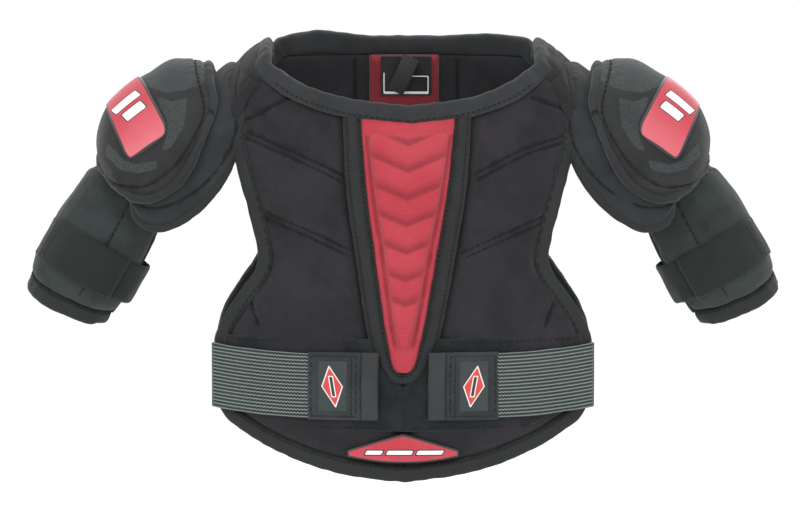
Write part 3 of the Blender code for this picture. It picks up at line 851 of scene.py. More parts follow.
def emblem():
    """Plain dark patch with a red lozenge outlined in white."""
    m = Shade("patch_print", roughness=0.6, specular=0.35)
    mark = m.number("mark")
    fluff = m.mottle(900.0, 2.0)
    patches = m.mottle(60.0, 4.0, 0.6)
    ground = m.blend(fluff, linear(34, 40, 42), linear(60, 66, 68))
    red = m.blend(patches, linear(178, 44, 46), linear(214, 84, 80))
    pale = m.ramp(m.maths("ABSOLUTE", m.maths("ADD", mark, 0.35 * MM)), 0.3 * MM, 0.45 * MM)
    colour = m.blend(m.ramp(mark, -0.5 * MM, -0.3 * MM), red, ground)
    colour = m.blend(pale, linear(226, 222, 218), colour)
    height = m.maths("MULTIPLY_ADD", fluff, 0.4, m.ramp(mark, -0.4 * MM, 0.0, 1.0, 0.0))
    return m.finish(colour, height, 0.2 * MM, 0.6, m.ramp(patches, 0.3, 0.8, 0.45, 0.75))


def badge_rubber(name, rim_width, label=False):
    """Red rubber badge with a dark rim and pale marks, fading to pink towards one end."""
    m = Shade(name, roughness=0.42, coat=0.15)
    d, fade, _ = m.attribute("print")
    mark = m.number("mark")
    patches = m.mottle(60.0, 4.0, 0.6)
    red = m.blend(m.ramp(fade, 0.15, 1.0), linear(178, 34, 52), linear(197, 84, 96))
    red = m.blend(m.ramp(patches, 0.4, 0.8, 0.0, 0.2), red, linear(209, 108, 113))
    if label:
        red = m.blend(patches, linear(26, 28, 30), linear(48, 50, 53))
    colour = m.blend(m.ramp(mark, -0.9 * MM, -0.6 * MM), linear(34, 28, 30), red)
    colour = m.blend(m.ramp(mark, -0.15 * MM, 0.15 * MM), linear(238, 236, 234), colour)
    # mark is negative inside the pale shape, so its dark outline lies just outside it
    outline = m.ramp(m.maths("ABSOLUTE", m.maths("SUBTRACT", mark, 0.45 * MM)), 0.3 * MM, 0.5 * MM)
    colour = m.blend(outline, linear(30, 24, 26), colour)
    inside = m.ramp(d, rim_width - 0.2 * MM, rim_width + 0.2 * MM)
    colour = m.blend(inside, linear(38, 36, 38), colour)
    grain = m.mottle(1200.0, 2.0)
    return m.finish(colour, grain, 0.05 * MM, 0.5, m.ramp(patches, 0.3, 0.8, 0.34, 0.55))


materials = {
    "chest": woven("chest_mesh", (26, 24, 27), (48, 46, 50), pitch=1.25 * MM, wear=(61, 60, 63)),
    "back": woven("back_mesh", (29, 27, 30), (50, 48, 51), pitch=1.25 * MM),
    "flap": woven("flap_cloth", (33, 35, 36), (53, 55, 57), pitch=0.9 * MM, sheen=0.15),
    "yoke": woven("yoke_cloth", (25, 26, 27), (42, 43, 45), pitch=0.9 * MM, sheen=0.10),
    "biceps": woven("biceps_cloth", (35, 42, 41), (57, 64, 63), pitch=0.9 * MM, sheen=0.15),
    "liner": woven("liner_cloth", (26, 27, 29), (46, 47, 50), pitch=1.6 * MM, diagonal=True),
    "tape": ribbed("tape_cloth", (23, 25, 26), (40, 43, 44)),
    "arm_band": woven("arm_elastic", (24, 29, 29), (40, 46, 44), pitch=1.2 * MM),
    "tab": woven("tab_cloth", (35, 40, 42), (57, 63, 64), pitch=0.8 * MM),
    "grip": ribbed("grip_tab", (37, 38, 40), (58, 60, 61), period=1.2 * MM, lengthwise=False),
    "loop": hooks("loop_strip", (19, 24, 24), (44, 47, 49), 0.9 * MM),
    "hook": hooks("hook_strip", (18, 18, 20), (40, 40, 42), 1.3 * MM),
    "elastic": striped_elastic(),
    "red": red_cloth(),
    # the same red knit with painted shade, for the spine strip, darker as if in shadow
    "shaded_red": red_cloth("spine_knit_shaded", 0.74),
    "cap": cap_cloth(),
    "plastic": moulded("cap_plastic", (0.20, 0.20, 0.21), (0.34, 0.34, 0.35)),
    "foam": moulded("cell_foam", (0.045, 0.047, 0.05), (0.085, 0.088, 0.09), 0.9, 420.0, 0.3 * MM, 0.0),
    "badge": badge_rubber("badge_rubber", 2.6 * MM),
    "belly": badge_rubber("belly_rubber", 2.0 * MM),
    "patch": emblem(),
    "label": badge_rubber("label_weave", 0.5 * MM, label=True),
    "thread_dark": ribbed("thread_dark", (12, 12, 13), (24, 24, 26), period=0.5 * MM, sheen=0.0),
    "thread_red": ribbed("thread_red", (140, 30, 44), (190, 60, 74), period=0.5 * MM),
}


def settle(obj, body, nodes=()):
    """Parents one finished piece to its body's empty and hides the model's nodes that it replaces."""
    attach(obj, body)
    if nodes:
        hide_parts(*nodes)
    return obj


# ---------------------------------------------------------------- torso


def offset_line(pairs, by):
    """The same plane line moved sideways."""
    pairs = np.asarray(pairs, float)
    t = unit(np.gradient(pairs, axis=0))
    return pairs + np.stack([-t[:, 1], t[:, 0]], 1) * by


CHEST_SEAMS = {
    1: {
        "single": [[(0.0950, -0.0300), (0.1130, -0.0365), (0.1240, -0.0415)],
                   [(0.1120, -0.1850), (0.1060, -0.2030)]],
        "double": [[(0.1225, -0.0610), (0.0900, -0.0700), (0.0520, -0.0880)],
                   [(0.1060, -0.1203), (0.0740, -0.1335), (0.0430, -0.1474)]],
    },
    -1: {
        "single": [[(0.0870, -0.0290), (0.1110, -0.0437), (0.1240, -0.0490)],
                   [(0.1147, -0.1838), (0.1086, -0.2016)]],
        "double": [[(0.1180, -0.0584), (0.0810, -0.0735), (0.0470, -0.0893)],
                   [(0.1030, -0.1180), (0.0700, -0.1315), (0.0420, -0.1450)]],
    },
}


def off_edge(edge):
    """0 at a panel's edge to 1 over its middle."""
    return step_up((edge[:, 0] - 5 * MM) / (8 * MM))


def chest_panel(side, word):
    point = leaning(side)

    def inner(z):
        return np.where(z > TIP_Z, along(FRAME_HALF, z) - 2.0 * MM, 0.15 * MM)

    place = patch(point, inner, lambda z: edge_half(z) - EDGE_INSET,
                  lambda x: hemline(x) - 2.0 * MM, lambda x: chest_top(x) + 3.0 * MM)
    grid = Grid(place, 0.090, 0.255, side=side)
    rise = pillow(np.maximum(0, grid.d - EDGE_INSET), 9.0 * MM)
    seams = CHEST_SEAMS[side]
    lines, single = [], []
    for pairs in seams["double"]:
        fine = smooth_line(resample(pairs, LINE_STEP), 12)
        for by in (-2.2 * MM, 2.2 * MM):
            lines.append(surface_line(point, offset_line(fine, by), side))
    for pairs in seams["single"]:
        single.append(surface_line(point, smooth_line(resample(pairs, LINE_STEP), 12), side))
    every = [line for line, _ in lines + single]
    sewn = groove(grid.P.reshape(-1, 3), every, 1.0, 3.0 * MM).reshape(grid.A.shape)
    crown = 1.4 * MM * noise(grid.P, 0.16)
    outer = 4.2 * MM + 5.6 * MM * rise + sewn * 0.8 * MM + crown * rise
    obj = shell(word + "_chest_quilt", grid, outer, 2.2 * MM, materials["chest"])
    puff(obj, held(grid, 4 * MM, 4 * MM, sewn), pressure=2.2, cap=1.8 * MM)
    refine(obj)

    def relief(b, cloth, edge):
        return (
            groove(b, [line for line, _ in lines], 1.0 * MM, 1.5 * MM)
            + groove(b, [line for line, _ in single], 1.3 * MM, 1.6 * MM)
            + puckers(b, every, 7 * MM, 0.009, 0.30 * MM)
            + off_edge(edge) * (noise(b, 0.045) * 0.45 * MM + noise(b, 0.014) * 0.10 * MM)
        )

    emboss(obj, relief)
    for line, normal in lines + single:
        sew(obj, "front", line, normal)
    settle(obj, "front", [word + "_chest_panel"])


def vee_tape():
    """The V of tape round the sternum pad, as one band that turns at its tip."""

    def place(s, t):
        turn = np.abs(2 * t - 1) ** 1.7
        sign = np.where(t > 0.5, 1.0, -1.0)
        z_in = mix(-0.2385, -0.0395, turn)
        z_out = mix(-0.2480, -0.0385, turn)
        x_in = np.where(turn > 0, along(PAD_HALF, z_in) - 0.5 * MM, 0.0)
        x_out = np.where(turn > 0.002, along(FRAME_HALF, z_out) + 1.0 * MM, 0.0)
        rounding = np.clip(turn / 0.004, 0, 1)
        return front_point(sign * rounding * mix(x_in, x_out, s), mix(z_in, z_out, s))

    grid = Grid(place, 0.014, 0.42, step=1.8 * MM)
    across = np.sin(math.pi * np.clip(grid.s, 0, 1))
    outer = 8.4 * MM + 3.6 * MM * across**0.5
    obj = shell("vee_tape", grid, outer, 3.0 * MM, materials["tape"])
    # its ribs run along the band
    put(obj.data, "cloth", "FLOAT_VECTOR", take(obj.data, "cloth")[:, [1, 0, 2]])
    refine(obj)
    t = np.linspace(0.004, 0.996, 260)
    rows = [place(np.full_like(t, share), t) for share in (0.2, 0.82)]

    def relief(b, cloth, edge):
        return groove(b, rows, 0.8 * MM, 1.2 * MM) + noise(b, 0.010) * 0.22 * MM

    emboss(obj, relief)
    for line in rows:
        normal = np.tile([0.0, -1.0, 0.0], (len(line), 1))
        sew(obj, "front", line, normal, length=2.4 * MM, gap=1.5 * MM)
    settle(obj, "front", ["sternum_tape"])


CHEVRONS = (-0.0650, -0.0840, -0.1040, -0.1240, -0.1450, -0.1660, -0.1850)


def core_half(z):
    """Half width of the cushion's raised middle."""
    return along(PAD_HALF, z) - mix(2.6 * MM, 5.6 * MM, np.clip((-0.05 - z) / 0.09, 0, 1))


def sternum_pad():
    def half(z):
        return along(PAD_HALF, z) + 0.8 * MM

    place = patch(front_point, lambda z: -half(z), half, lambda x: -0.2375 + 0 * x,
                  lambda x: -0.0440 + 0 * x)
    grid = Grid(place, 0.056, 0.192, step=1.6 * MM)
    rise = pillow(np.maximum(0, grid.du - 0.8 * MM), 3.5 * MM)
    outer = 8.4 * MM + 2.0 * MM * rise
    obj = shell("sternum_cushion", grid, outer, 5.4 * MM, materials["red"])
    puff(obj, held(grid, 2 * MM, 3 * MM), pressure=2.0, cap=1.0 * MM)
    refine(obj)
    shadow = {}

    def relief(b, cloth, edge):
        x, z = b[:, 0], b[:, 2]
        deep = np.zeros(len(x))
        x = x - LEAN * np.clip((z - TIP_Z) / LEAN_HEIGHT, 0, 1)
        inset = core_half(z) - np.abs(x)
        core = step_up((inset - 1.0 * MM) / (3.2 * MM))
        top = step_up((-0.056 - z) / (4 * MM)) * step_up((z + 0.222) / (8 * MM))
        groove_line = 1.6 * MM * np.exp(-(((inset + 0.6 * MM) / (1.6 * MM)) ** 2)) * top
        height = 3.4 * MM * core * top - groove_line
        for centre in CHEVRONS:
            line = z - (centre + 0.42 * np.abs(x))
            # each chevron has a steep lower side and a slow upper one
            cut = np.exp(-(line / np.where(line > 0, 5.0 * MM, 1.2 * MM)) ** 2)
            height = height - 2.2 * MM * cut * core * top
            deep = np.maximum(deep, cut * core * top)
        shadow["depth"] = np.maximum(deep, groove_line / (1.6 * MM)) * (cloth[:, 2] > 0.5)
        return height + noise(b, 0.03) * 0.2 * MM

    emboss(obj, relief)
    # painted shade: the chevrons and the groove round the raised core are darkened in the colour as if
    # in shadow
    put(obj.data, "painted_groove_shade", "FLOAT", 0.55 * shadow["depth"])
    for sign in (-1, 1):
        z = np.linspace(-0.222, -0.052, 120)
        pairs = np.stack([sign * (core_half(z) + 0.6 * MM), z], 1)
        line, normal = surface_line(front_point, pairs)
        sew(obj, "front", line, normal, length=2.0 * MM, gap=1.6 * MM, **RED_STITCH)
    settle(obj, "front", ["sternum_pad"])


def shoulder_bump(x):
    """1 where the back's binding swells beside the neck, and 0 away from there."""
    return np.exp(-(((np.abs(x) - 0.066) / 0.026) ** 2))


def neck_ring():
    """The binding round the neck as one loop, cut where the front swings from the yokes."""
    x = np.linspace(-0.0930, 0.0930, 120)
    front_rise = 5.0 * MM + 0.6 * MM * np.exp(-((np.abs(x) / 0.050) ** 4))
    pairs = np.stack([x, along(NECKLINE, np.abs(x)) + front_rise], 1)
    front, front_up = surface_line(front_point, pairs, lift=7.4 * MM)
    v = np.linspace(-0.80, 0.80, 60)
    pairs = np.stack([0 * v + 0.02, v], 1)
    left, left_up = surface_line(collar_point, pairs, 1, COLLAR_CENTRE, lift=0.2 * MM)
    bump = np.where(x < 0, 4.0 * MM, 1.6 * MM)
    rise = 8.4 * MM + bump * shoulder_bump(x)
    back, back_up = surface_line(back_point, np.stack([x, back_top(x) + rise], 1), lift=5.0 * MM)
    line = np.concatenate([front, left, back[::-1], (left * [-1, 1, 1])[::-1]])
    up = np.concatenate([front_up, left_up, back_up[::-1], (left_up * [-1, 1, 1])[::-1]])
    both = resample(np.concatenate([line, up], 1), 2.0 * MM)
    closed = np.concatenate([both, both, both])
    closed = smooth_line(closed, 34)[len(both): 2 * len(both)]
    # the loop starts at the back, so that the front's share of it is one run
    closed = np.roll(closed, -int(np.argmax(closed[:, 1])), 0)
    line, up = closed[:, :3], unit(closed[:, 3:])
    y = line[:, 1]
    at_back, at_front = step_up((y - 0.020) / 0.040), step_up((-0.040 - y) / 0.016)
    half = 6.4 * MM + 1.2 * MM * at_back + 1.4 * MM * shoulder_bump(line[:, 0]) * (y > 0)
    half = half + 1.1 * MM * at_front
    tall = 9.0 * MM + 0.8 * MM * at_back + 1.2 * MM * at_front
    parts = np.nonzero(y < -0.047)[0]
    first, last = parts[0], parts[-1] + 1
    ring = np.arange(last - 3, len(line) + first + 3) % len(line)
    on_front, on_back = (
        tape(name, line[pick], up[pick], half[pick], tall[pick], materials["flap"], 20, 0.35 * MM)
        for name, pick in (("front_neck_binding", np.arange(first, last)), ("back_neck_binding", ring))
    )
    x = np.linspace(-0.0960, 0.0960, 150)
    row, row_up = surface_line(front_point, np.stack([x, along(NECKLINE, np.abs(x)) + 0.6 * MM], 1))
    sew(on_front, "front", row, row_up)
    settle(on_front, "front", ["front_neck_tape"])
    folds = []
    for foot, top in (((-0.0700, 0.0005), (-0.0610, 0.0110)), ((-0.0560, 0.0000), (-0.0600, 0.0110)),
                      ((0.0740, 0.0005), (0.0790, 0.0110)), ((0.0840, 0.0005), (0.0800, 0.0110))):
        folds.append(surface_line(back_point, [foot, top], lift=0.5 * MM)[0])
    emboss(on_back, lambda b, c, e: groove(coordinates(on_back.data), folds, 1.9 * MM, 1.7 * MM))
    row, row_up = surface_line(back_point, np.stack([x, back_top(x) + 2.6 * MM], 1))
    sew(on_back, "back", row, -row_up)
    sew(on_back, "back", row, row_up)
    settle(on_back, "back", ["back_neck_tape"])


def edge_pairs(top_z, inset=4.6 * MM, drop=5.0 * MM):
    """One side's armhole edge and half of the hem, as a plane line from the top down to the middle."""
    z = np.linspace(top_z, -0.250, 130)
    upper = np.stack([edge_half(z) - inset, z], 1)
    x = np.linspace(0.1330, 0.0, 110)
    lower = np.stack([x, hemline(x) - drop], 1)
    return smooth_line(resample(np.concatenate([upper, lower]), 2.0 * MM), 36)


def edge_tapes():
    for name, body, point, top_z, node in (
        ("front_edge_binding", "front", front_point, -0.058, "front_edge_tape"),
        ("back_edge_binding", "back", back_point, -0.056, "back_hem_tape"),
    ):
        half = edge_pairs(top_z)
        pairs = np.concatenate([half, (half * [-1, 1])[::-1][1:]])
        line, normal = surface_line(point, pairs, step=2.2 * MM, lift=5.8 * MM)
        obj = tape(name, line, normal, 6.3 * MM, 8.6 * MM, materials["tape"], 16, 0.35 * MM)
        inner = edge_pairs(top_z, inset=8.6 * MM, drop=0.6 * MM)
        for sign in (1, -1):
            row, up = surface_line(point, inner * [sign, 1])
            sew(obj, body, row, up)
        settle(obj, body, [node])


def linings():
    for name, body, point, top, node, flat in (
        ("front_lining", "front", front_point, chest_top, "front_liner", FRONT_LINING_FLAT),
        ("back_lining", "back", back_point, back_top, "back_liner", BACK_LINING_FLAT),
    ):
        place = patch(point, lambda z: 7.0 * MM - edge_half(z), lambda z: edge_half(z) - 7.0 * MM,
                      lambda x: hemline(x) - 2.0 * MM, lambda x, top=top: top(x) + 2.0 * MM)
        grid = Grid(place, 0.235, 0.270, step=3.0 * MM)
        ribs = np.abs(np.sin(grid.A / 0.017 * math.pi)) ** 0.6
        inner = 0.2 * MM - 1.2 * MM * ribs * pillow(grid.d, 0.012)
        obj = shell(name, grid, 2.0 * MM, inner, materials["liner"])
        refine(obj)
        seams = [surface_line(point, [(x, top(x) - 2.0 * MM), (x, -0.280)])[0]
                 for x in (-0.0377, 0.0431)]
        emboss(obj, lambda b, c, e: groove(b, seams, 1.6 * MM, 1.4 * MM), inner=True)
        settle(obj, body, [node])


BACK_SEAMS = (
    [(0.036, -0.020), (0.036, -0.150), (0.030, -0.285)],
    [(0.040, -0.085), (0.075, -0.070), (0.118, -0.062)],
    [(0.040, -0.150), (0.070, -0.138), (0.104, -0.130)],
    [(0.040, -0.212), (0.075, -0.205), (0.130, -0.205)],
)


def back_side():
    """Quilted outer face of the back with its spine channel."""
    place = patch(back_point, lambda z: EDGE_INSET - edge_half(z), lambda z: edge_half(z) - EDGE_INSET,
                  lambda x: hemline(x) - 2.0 * MM, lambda x: back_top(x) + 5.0 * MM)
    grid = Grid(place, 0.250, 0.285, step=3.0 * MM)
    rise = pillow(np.maximum(0, grid.d - EDGE_INSET), 9.0 * MM)
    both = [np.array(pairs) * [sign, 1] for pairs in BACK_SEAMS for sign in (1, -1)]
    lines = [surface_line(back_point, smooth_line(resample(p, 2 * MM), 12)) for p in both]
    every = [line for line, _ in lines]
    sewn = groove(grid.P.reshape(-1, 3), every, 1.0, 3.5 * MM).reshape(grid.A.shape)
    outer = 4.2 * MM + 6.4 * MM * rise + sewn * 1.0 * MM
    obj = shell("back_quilt", grid, outer, 2.4 * MM, materials["back"])
    puff(obj, held(grid, 4 * MM, 4 * MM, sewn), pressure=2.2, cap=2.0 * MM)
    refine(obj)

    def relief(b, cloth, edge):
        return (
            groove(b, every, 1.4 * MM, 1.8 * MM)
            + puckers(b, every, 7 * MM, 0.009, 0.3 * MM)
            + off_edge(edge) * (noise(b, 0.05) * 0.5 * MM)
        )

    emboss(obj, relief)
    for line, normal in lines:
        sew(obj, "back", line, normal)
    settle(obj, "back", ["back_panel"])


def spine_strip():
    place = band(back_point, -0.0265, 0.0285, -0.250, -0.0035)
    grid = Grid(place, 0.055, 0.240, step=2.2 * MM)
    inner = -1.0 * MM - 4.4 * MM * pillow(grid.d, 4.0 * MM) + 0.8 * MM * np.exp(
        -((np.mod(grid.B, 0.024) - 0.012) / 0.0018) ** 2)
    # its red is the shaded copy of the knit: painted shade, not a darker cloth
    obj = shell("spine_cushion", grid, -0.4 * MM, inner, materials["shaded_red"])
    refine(obj)
    for x in (-0.0240, 0.0260):
        row, up = surface_line(back_point, [(x, -0.245), (x, -0.012)])
        sew(obj, "back", row, -up, length=2.2 * MM, gap=1.5 * MM, **RED_STITCH)
    settle(obj, "back", ["spine_pad"])


def flat_piece(name, place, width, height, low, high, material, step=1.2 * MM, side=1,
               centre=TORSO_CENTRE, edge=0.8 * MM):
    """A flat sewn piece with softly rounded edges."""
    grid = Grid(place, width, height, step=step, side=side, centre=centre)
    obj = shell(name, grid, mix(low, high, 0.45 + 0.55 * pillow(grid.d, edge * 2)), low, material)
    refine(obj)
    return obj


def marks(obj, distance, fade, mark):
    """Stores what a printed piece's material reads, for its outer and its inner face."""
    distance, fade, mark = (np.tile(np.ravel(v), 2) for v in (distance, fade, mark))
    put(obj.data, "print", "FLOAT_VECTOR", np.stack([distance, fade, 0 * fade], 1))
    put(obj.data, "mark", "FLOAT", mark)


def bar(x, y, cx, cy, half_x, half_y, slant=0.0):
    """Signed distance, negative inside, of a slanted bar."""
    px = np.abs(x - cx - slant * (y - cy)) - half_x
    py = np.abs(y - cy) - half_y
    return np.maximum(px, py)


def label_and_loop():
    place = band(back_point, -0.0175, 0.0225, -0.0345, -0.0030)
    grid = Grid(place, 0.040, 0.032, step=0.7 * MM)
    obj = shell("care_label", grid, -5.6 * MM, -6.5 * MM, materials["label"])
    x, y = mix(-0.0200, 0.0200, grid.s), mix(-0.0158, 0.0158, grid.t)
    lines = (
        (-0.0176, -0.0060, 0.5 * MM, 0.0085), (0.0, -0.0138, 0.0180, 1.0 * MM),
        (0.0176, -0.0075, 0.45 * MM, 0.0070), (0.0085, -0.0005, 0.0092, 0.45 * MM),
    )
    mark = np.minimum.reduce([bar(x, y, *line) for line in lines])
    marks(obj, np.full_like(x, 1.0), np.zeros_like(x), mark)
    settle(obj, "back", ["size_label"])
    ends = [(0.0070, -0.0035), (-0.0065, -0.0315)]
    line, normal = surface_line(back_point, np.linspace(*ends, 40))
    arch = 7.2 * MM + 4.0 * MM * np.sin(math.pi * np.linspace(0, 1, len(line)))
    line = line - normal * arch[:, None]
    tangent = unit(np.gradient(line, axis=0))
    out = unit(normal - tangent * (normal * tangent).sum(1)[:, None])
    obj = tape("hanging_loop", line, out, 7.0 * MM, 1.3 * MM, materials["grip"], 12, 0.12 * MM)
    settle(obj, "back", ["hang_loop"])


def belly_badge():
    """Pointed lozenge at the foot of the chest."""

    def place(s, t):
        a = 2 * s - 1
        high = mix(-0.2835, -0.2955, np.abs(a) ** 1.15)
        low = mix(-0.3060, -0.3010, np.abs(a) ** 2)
        return front_point(0.0420 * a, mix(low, high, t))

    grid = Grid(place, 0.084, 0.022, step=1.0 * MM)
    outer = 11.2 * MM + 1.9 * MM * pillow(grid.d, 2.0 * MM)
    obj = shell("belly_patch", grid, outer, 9.0 * MM, materials["belly"])
    x, y = grid.P[..., 0], grid.P[..., 2] + 0.2935
    mark = np.full_like(x, 0.05)
    for cx, half in ((-0.0215, 0.0060), (-0.0025, 0.0095), (0.0200, 0.0095)):
        mark = np.minimum(mark, bar(x, y, cx, -0.0038, half, 1.5 * MM, 0.5))
    marks(obj, grid.d, 0.35 * step_up((0.006 - y) / 0.012), mark)
    refine(obj)
    settle(obj, "front", ["belly_badge"])


# ---------------------------------------------------------------- straps


def waist_straps(side, word):
    point = leaning(side)
    strap = word + "_waist_strap"

    def landing_inner(z):
        return np.where(z > TIP_Z, along(FRAME_HALF, z) - 3.0 * MM, -0.8 * MM)

    place = patch(point, landing_inner, lambda z: np.minimum(0.1340, edge_half(z) - 8.0 * MM),
                  lambda x: np.maximum(-0.2825, hemline(x) + 8.0 * MM), lambda x: -0.2105 + 0 * x)
    loop = flat_piece(word + "_loop_landing", place, 0.125, 0.072, 9.0 * MM, 11.4 * MM,
                         materials["loop"], 2.2 * MM, side)
    emboss(loop, lambda b, c, e: noise(b, 0.02) * 0.25 * MM)
    for x0, x1, z in ((0.0060, 0.0950, -0.2795), (0.0330, 0.1270, -0.2135)):
        row, up = surface_line(point, [(x0, z), (x1, z)], side, lift=0.0)
        sew(loop, "front", row, up)
    settle(loop, "front", [word + "_waist_loop"])

    lift = 14.0 * MM  # how far the strap stands off the chest's base surface

    def rising(s, t):
        return point(mix(0.0670, SIDE_X, s), mix(STRAP_LOW, STRAP_TOP, t) + STRAP_RISE * s * s)

    elastic = flat_piece(word + "_elastic_web", rising, 0.078, 0.050, lift, lift + 2.0 * MM,
                         materials["elastic"], 1.5 * MM, side, edge=0.6 * MM)
    emboss(elastic, lambda b, c, e: noise(b, 0.03) * 0.3 * MM)
    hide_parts(word + "_strap_elastic")
    # where its root is sewn to the side seam, and a point further in along the strap's middle
    root, free = (mirrored(point(x, STRAP_MIDDLE), side).tolist() for x in (SIDE_X, 0.1120))
    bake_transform(elastic)

    tab_low, tab_high = STRAP_LOW - 1.2 * MM, STRAP_TOP + 1.2 * MM
    place = band(point, 0.0310, 0.0700, tab_low, tab_high)
    tab = flat_piece(word + "_strap_end", place, 0.039, 0.053, lift + 0.4 * MM, lift + 3.0 * MM,
                        materials["tab"], 1.5 * MM, side)
    low, high = tab_low + 3 * MM, tab_high - 3 * MM
    box = [(0.0345, low), (0.0345, high), (0.0672, high), (0.0672, low), (0.0345, low)]
    rows = [surface_line(point, pairs, side) for pairs in (box, [(0.0380, low), (0.0380, high)])]
    emboss(tab, lambda b, c, e: groove(b, [r[0] for r in rows], 0.5 * MM, 0.9 * MM)
           + noise(b, 0.02) * 0.15 * MM)
    for row, up in rows:
        sew(tab, strap, row, up, **FINE_STITCH)
    settle(tab, strap, [word + "_strap_tab"])

    place = band(point, 0.0185, 0.0312, tab_low, tab_high)
    grip = flat_piece(word + "_strap_grip_tab", place, 0.0127, 0.053, lift + 0.2 * MM,
                            lift + 2.9 * MM, materials["grip"], 1.2 * MM, side)
    settle(grip, strap, [word + "_strap_grip"])

    place = band(point, 0.0330, 0.0665, STRAP_LOW, STRAP_TOP)
    hook = flat_piece(word + "_strap_hooks", place, 0.0335, 0.050, 12.6 * MM, 13.8 * MM,
                         materials["hook"], 2.0 * MM, side)
    settle(hook, strap, [word + "_strap_hook"])

    def place_patch(s, t):
        a, b = 2 * s - 1, 2 * t - 1
        return point(0.0515 + 0.0105 * a, STRAP_MIDDLE + 0.0195 * b + 0 * a)

    grid = Grid(place_patch, 0.021, 0.039, step=0.7 * MM, side=side)
    outer = lift + 2.9 * MM + 0.7 * MM * pillow(grid.d, 1.0 * MM)
    obj = shell(word + "_strap_patch_print", grid, outer, lift + 2.2 * MM, materials["patch"])
    x, y = 0.0105 * (2 * grid.s - 1), 0.0195 * (2 * grid.t - 1)
    lozenge = (np.abs(x - 0.16 * y) / 0.0078 + np.abs(y) / 0.0165 - 1) * 0.0068
    slot_cut = bar(x, y, 0.0, 0.0, 0.0011, 0.0075, 0.16)
    marks(obj, grid.d, np.full_like(x, 0.2), np.maximum(lozenge, -slot_cut))
    refine(obj)
    settle(obj, strap, [word + "_strap_patch"])

    def web(s, t):
        """Round the flank, from the strap's root at the front to the back."""
        angle = mix(-math.pi / 2, math.pi / 2, s)
        meets_strap = np.clip(1 - s / 0.15, 0, 1) ** 2
        swell = 0.1405 + 0.0045 * np.cos(angle) ** 0.6 + 0.0065 * meets_strap
        depth = 0.058 + 0.002 * meets_strap
        return stack(swell, depth * np.sin(angle), mix(STRAP_LOW, STRAP_TOP, t) + STRAP_RISE)

    web_obj = flat_piece(word + "_side_webbing", web, 0.122, 0.050, 0.0, 1.8 * MM,
                            materials["elastic"], 1.5 * MM, side)
    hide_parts(word + "_side_web")
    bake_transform(web_obj)


# ---------------------------------------------------------------- shoulders


def yoke(side, word):
    """The cloth over the shoulder, from the neck binding to under the cap's flap."""

    def place(s, t):
        return collar_point(s, mix(-1.08, 1.08, t))

    grid = Grid(place, 0.034, 0.140, step=1.6 * MM, centre=COLLAR_CENTRE, side=side)
    outer = 1.0 * MM + 3.0 * MM * pillow(grid.d, 5.0 * MM)
    obj = shell(word + "_yoke_pad", grid, outer, -0.4 * MM, materials["yoke"])
    puff(obj, held(grid, 0.0, 4 * MM), pressure=2.0, cap=1.2 * MM)
    refine(obj)
    folds = []
    for v0, v1, u0, u1 in (
        (-0.98, -0.10, 0.10, 0.60), (-0.80, 0.10, 0.66, 0.34), (0.3, 0.9, 0.3, 0.5),
    ):
        share = np.linspace(0, 1, 24)
        bend = 0.06 * np.sin(share * math.pi)
        folds.append(mirrored(collar_point(mix(u0, u1, share) + bend, mix(v0, v1, share)), side))
    emboss(obj, lambda b, c, e: groove(b, folds, 0.9 * MM, 1.7 * MM) + noise(b, 0.022) * 0.35 * MM)
    settle(obj, "back", [word + "_yoke"])


CAP_ZONES = (
    # lighter print round the badge: closed shapes in the front view, (half width, height) in mm
    [(149, 0), (150, -10), (156, -17), (168, -22), (183, -24), (197, -19), (205, -11), (190, 3),
     (160, 6)],
    [(166, -28), (178, -31), (190, -26), (187, -34), (181, -46), (182, -60), (186, -70), (178, -66),
     (168, -50)],
    [(227, -62), (228, -72), (217, -83), (203, -86), (190, -83), (188, -76), (194, -77), (205, -79),
     (214, -76), (222, -67)],
)


def polygon_distance(x, y, corners):
    """Signed distance to a closed plane shape, positive inside."""
    best = np.full(x.shape, 1e9)
    inside = np.zeros(x.shape, bool)
    for (x0, y0), (x1, y1) in zip(corners, corners[1:] + corners[:1]):
        dx, dy = x1 - x0, y1 - y0
        t = np.clip(((x - x0) * dx + (y - y0) * dy) / max(dx * dx + dy * dy, 1e-12), 0, 1)
        best = np.minimum(best, np.hypot(x - x0 - t * dx, y - y0 - t * dy))
        crosses = (y0 > y) != (y1 > y)
        slope = np.where(abs(dy) < 1e-12, 0.0, dx / (dy if abs(dy) > 1e-12 else 1.0))
        inside ^= crosses & (x < x0 + slope * (y - y0))
    return np.where(inside, best, -best)


CAP_U0 = 0.03
# the badge's corners in the same view: inner top, outer top, outer low, inner low
BADGE_CORNERS = ((202, -12), (229, -36), (212, -77), (178, -53))
VIEW_TILT = math.radians(6.0)


def seen_from_front(P):
    """Half width and height in mm, as the front view shows a point of either side."""
    height = P[..., 2] * math.cos(VIEW_TILT) + (0.06 - np.abs(P[..., 1])) * math.sin(VIEW_TILT)
    return np.abs(P[..., 0]) / MM, height / MM


def cap_uv(corner):
    """The cap's (u, v) of a place in the front view."""
    u, v = np.meshgrid(np.linspace(0, 1, 161), np.linspace(-1, 0, 161), indexing="ij")
    x, z = seen_from_front(cap_point(u, v))
    k = np.argmin((x - corner[0]) ** 2 + (z - corner[1]) ** 2)
    return u.ravel()[k], v.ravel()[k]


def cap_line(pairs, side, lift=0.0, step=LINE_STEP):
    return surface_line(cap_point, pairs, side, CAP_CENTRE, step, lift)


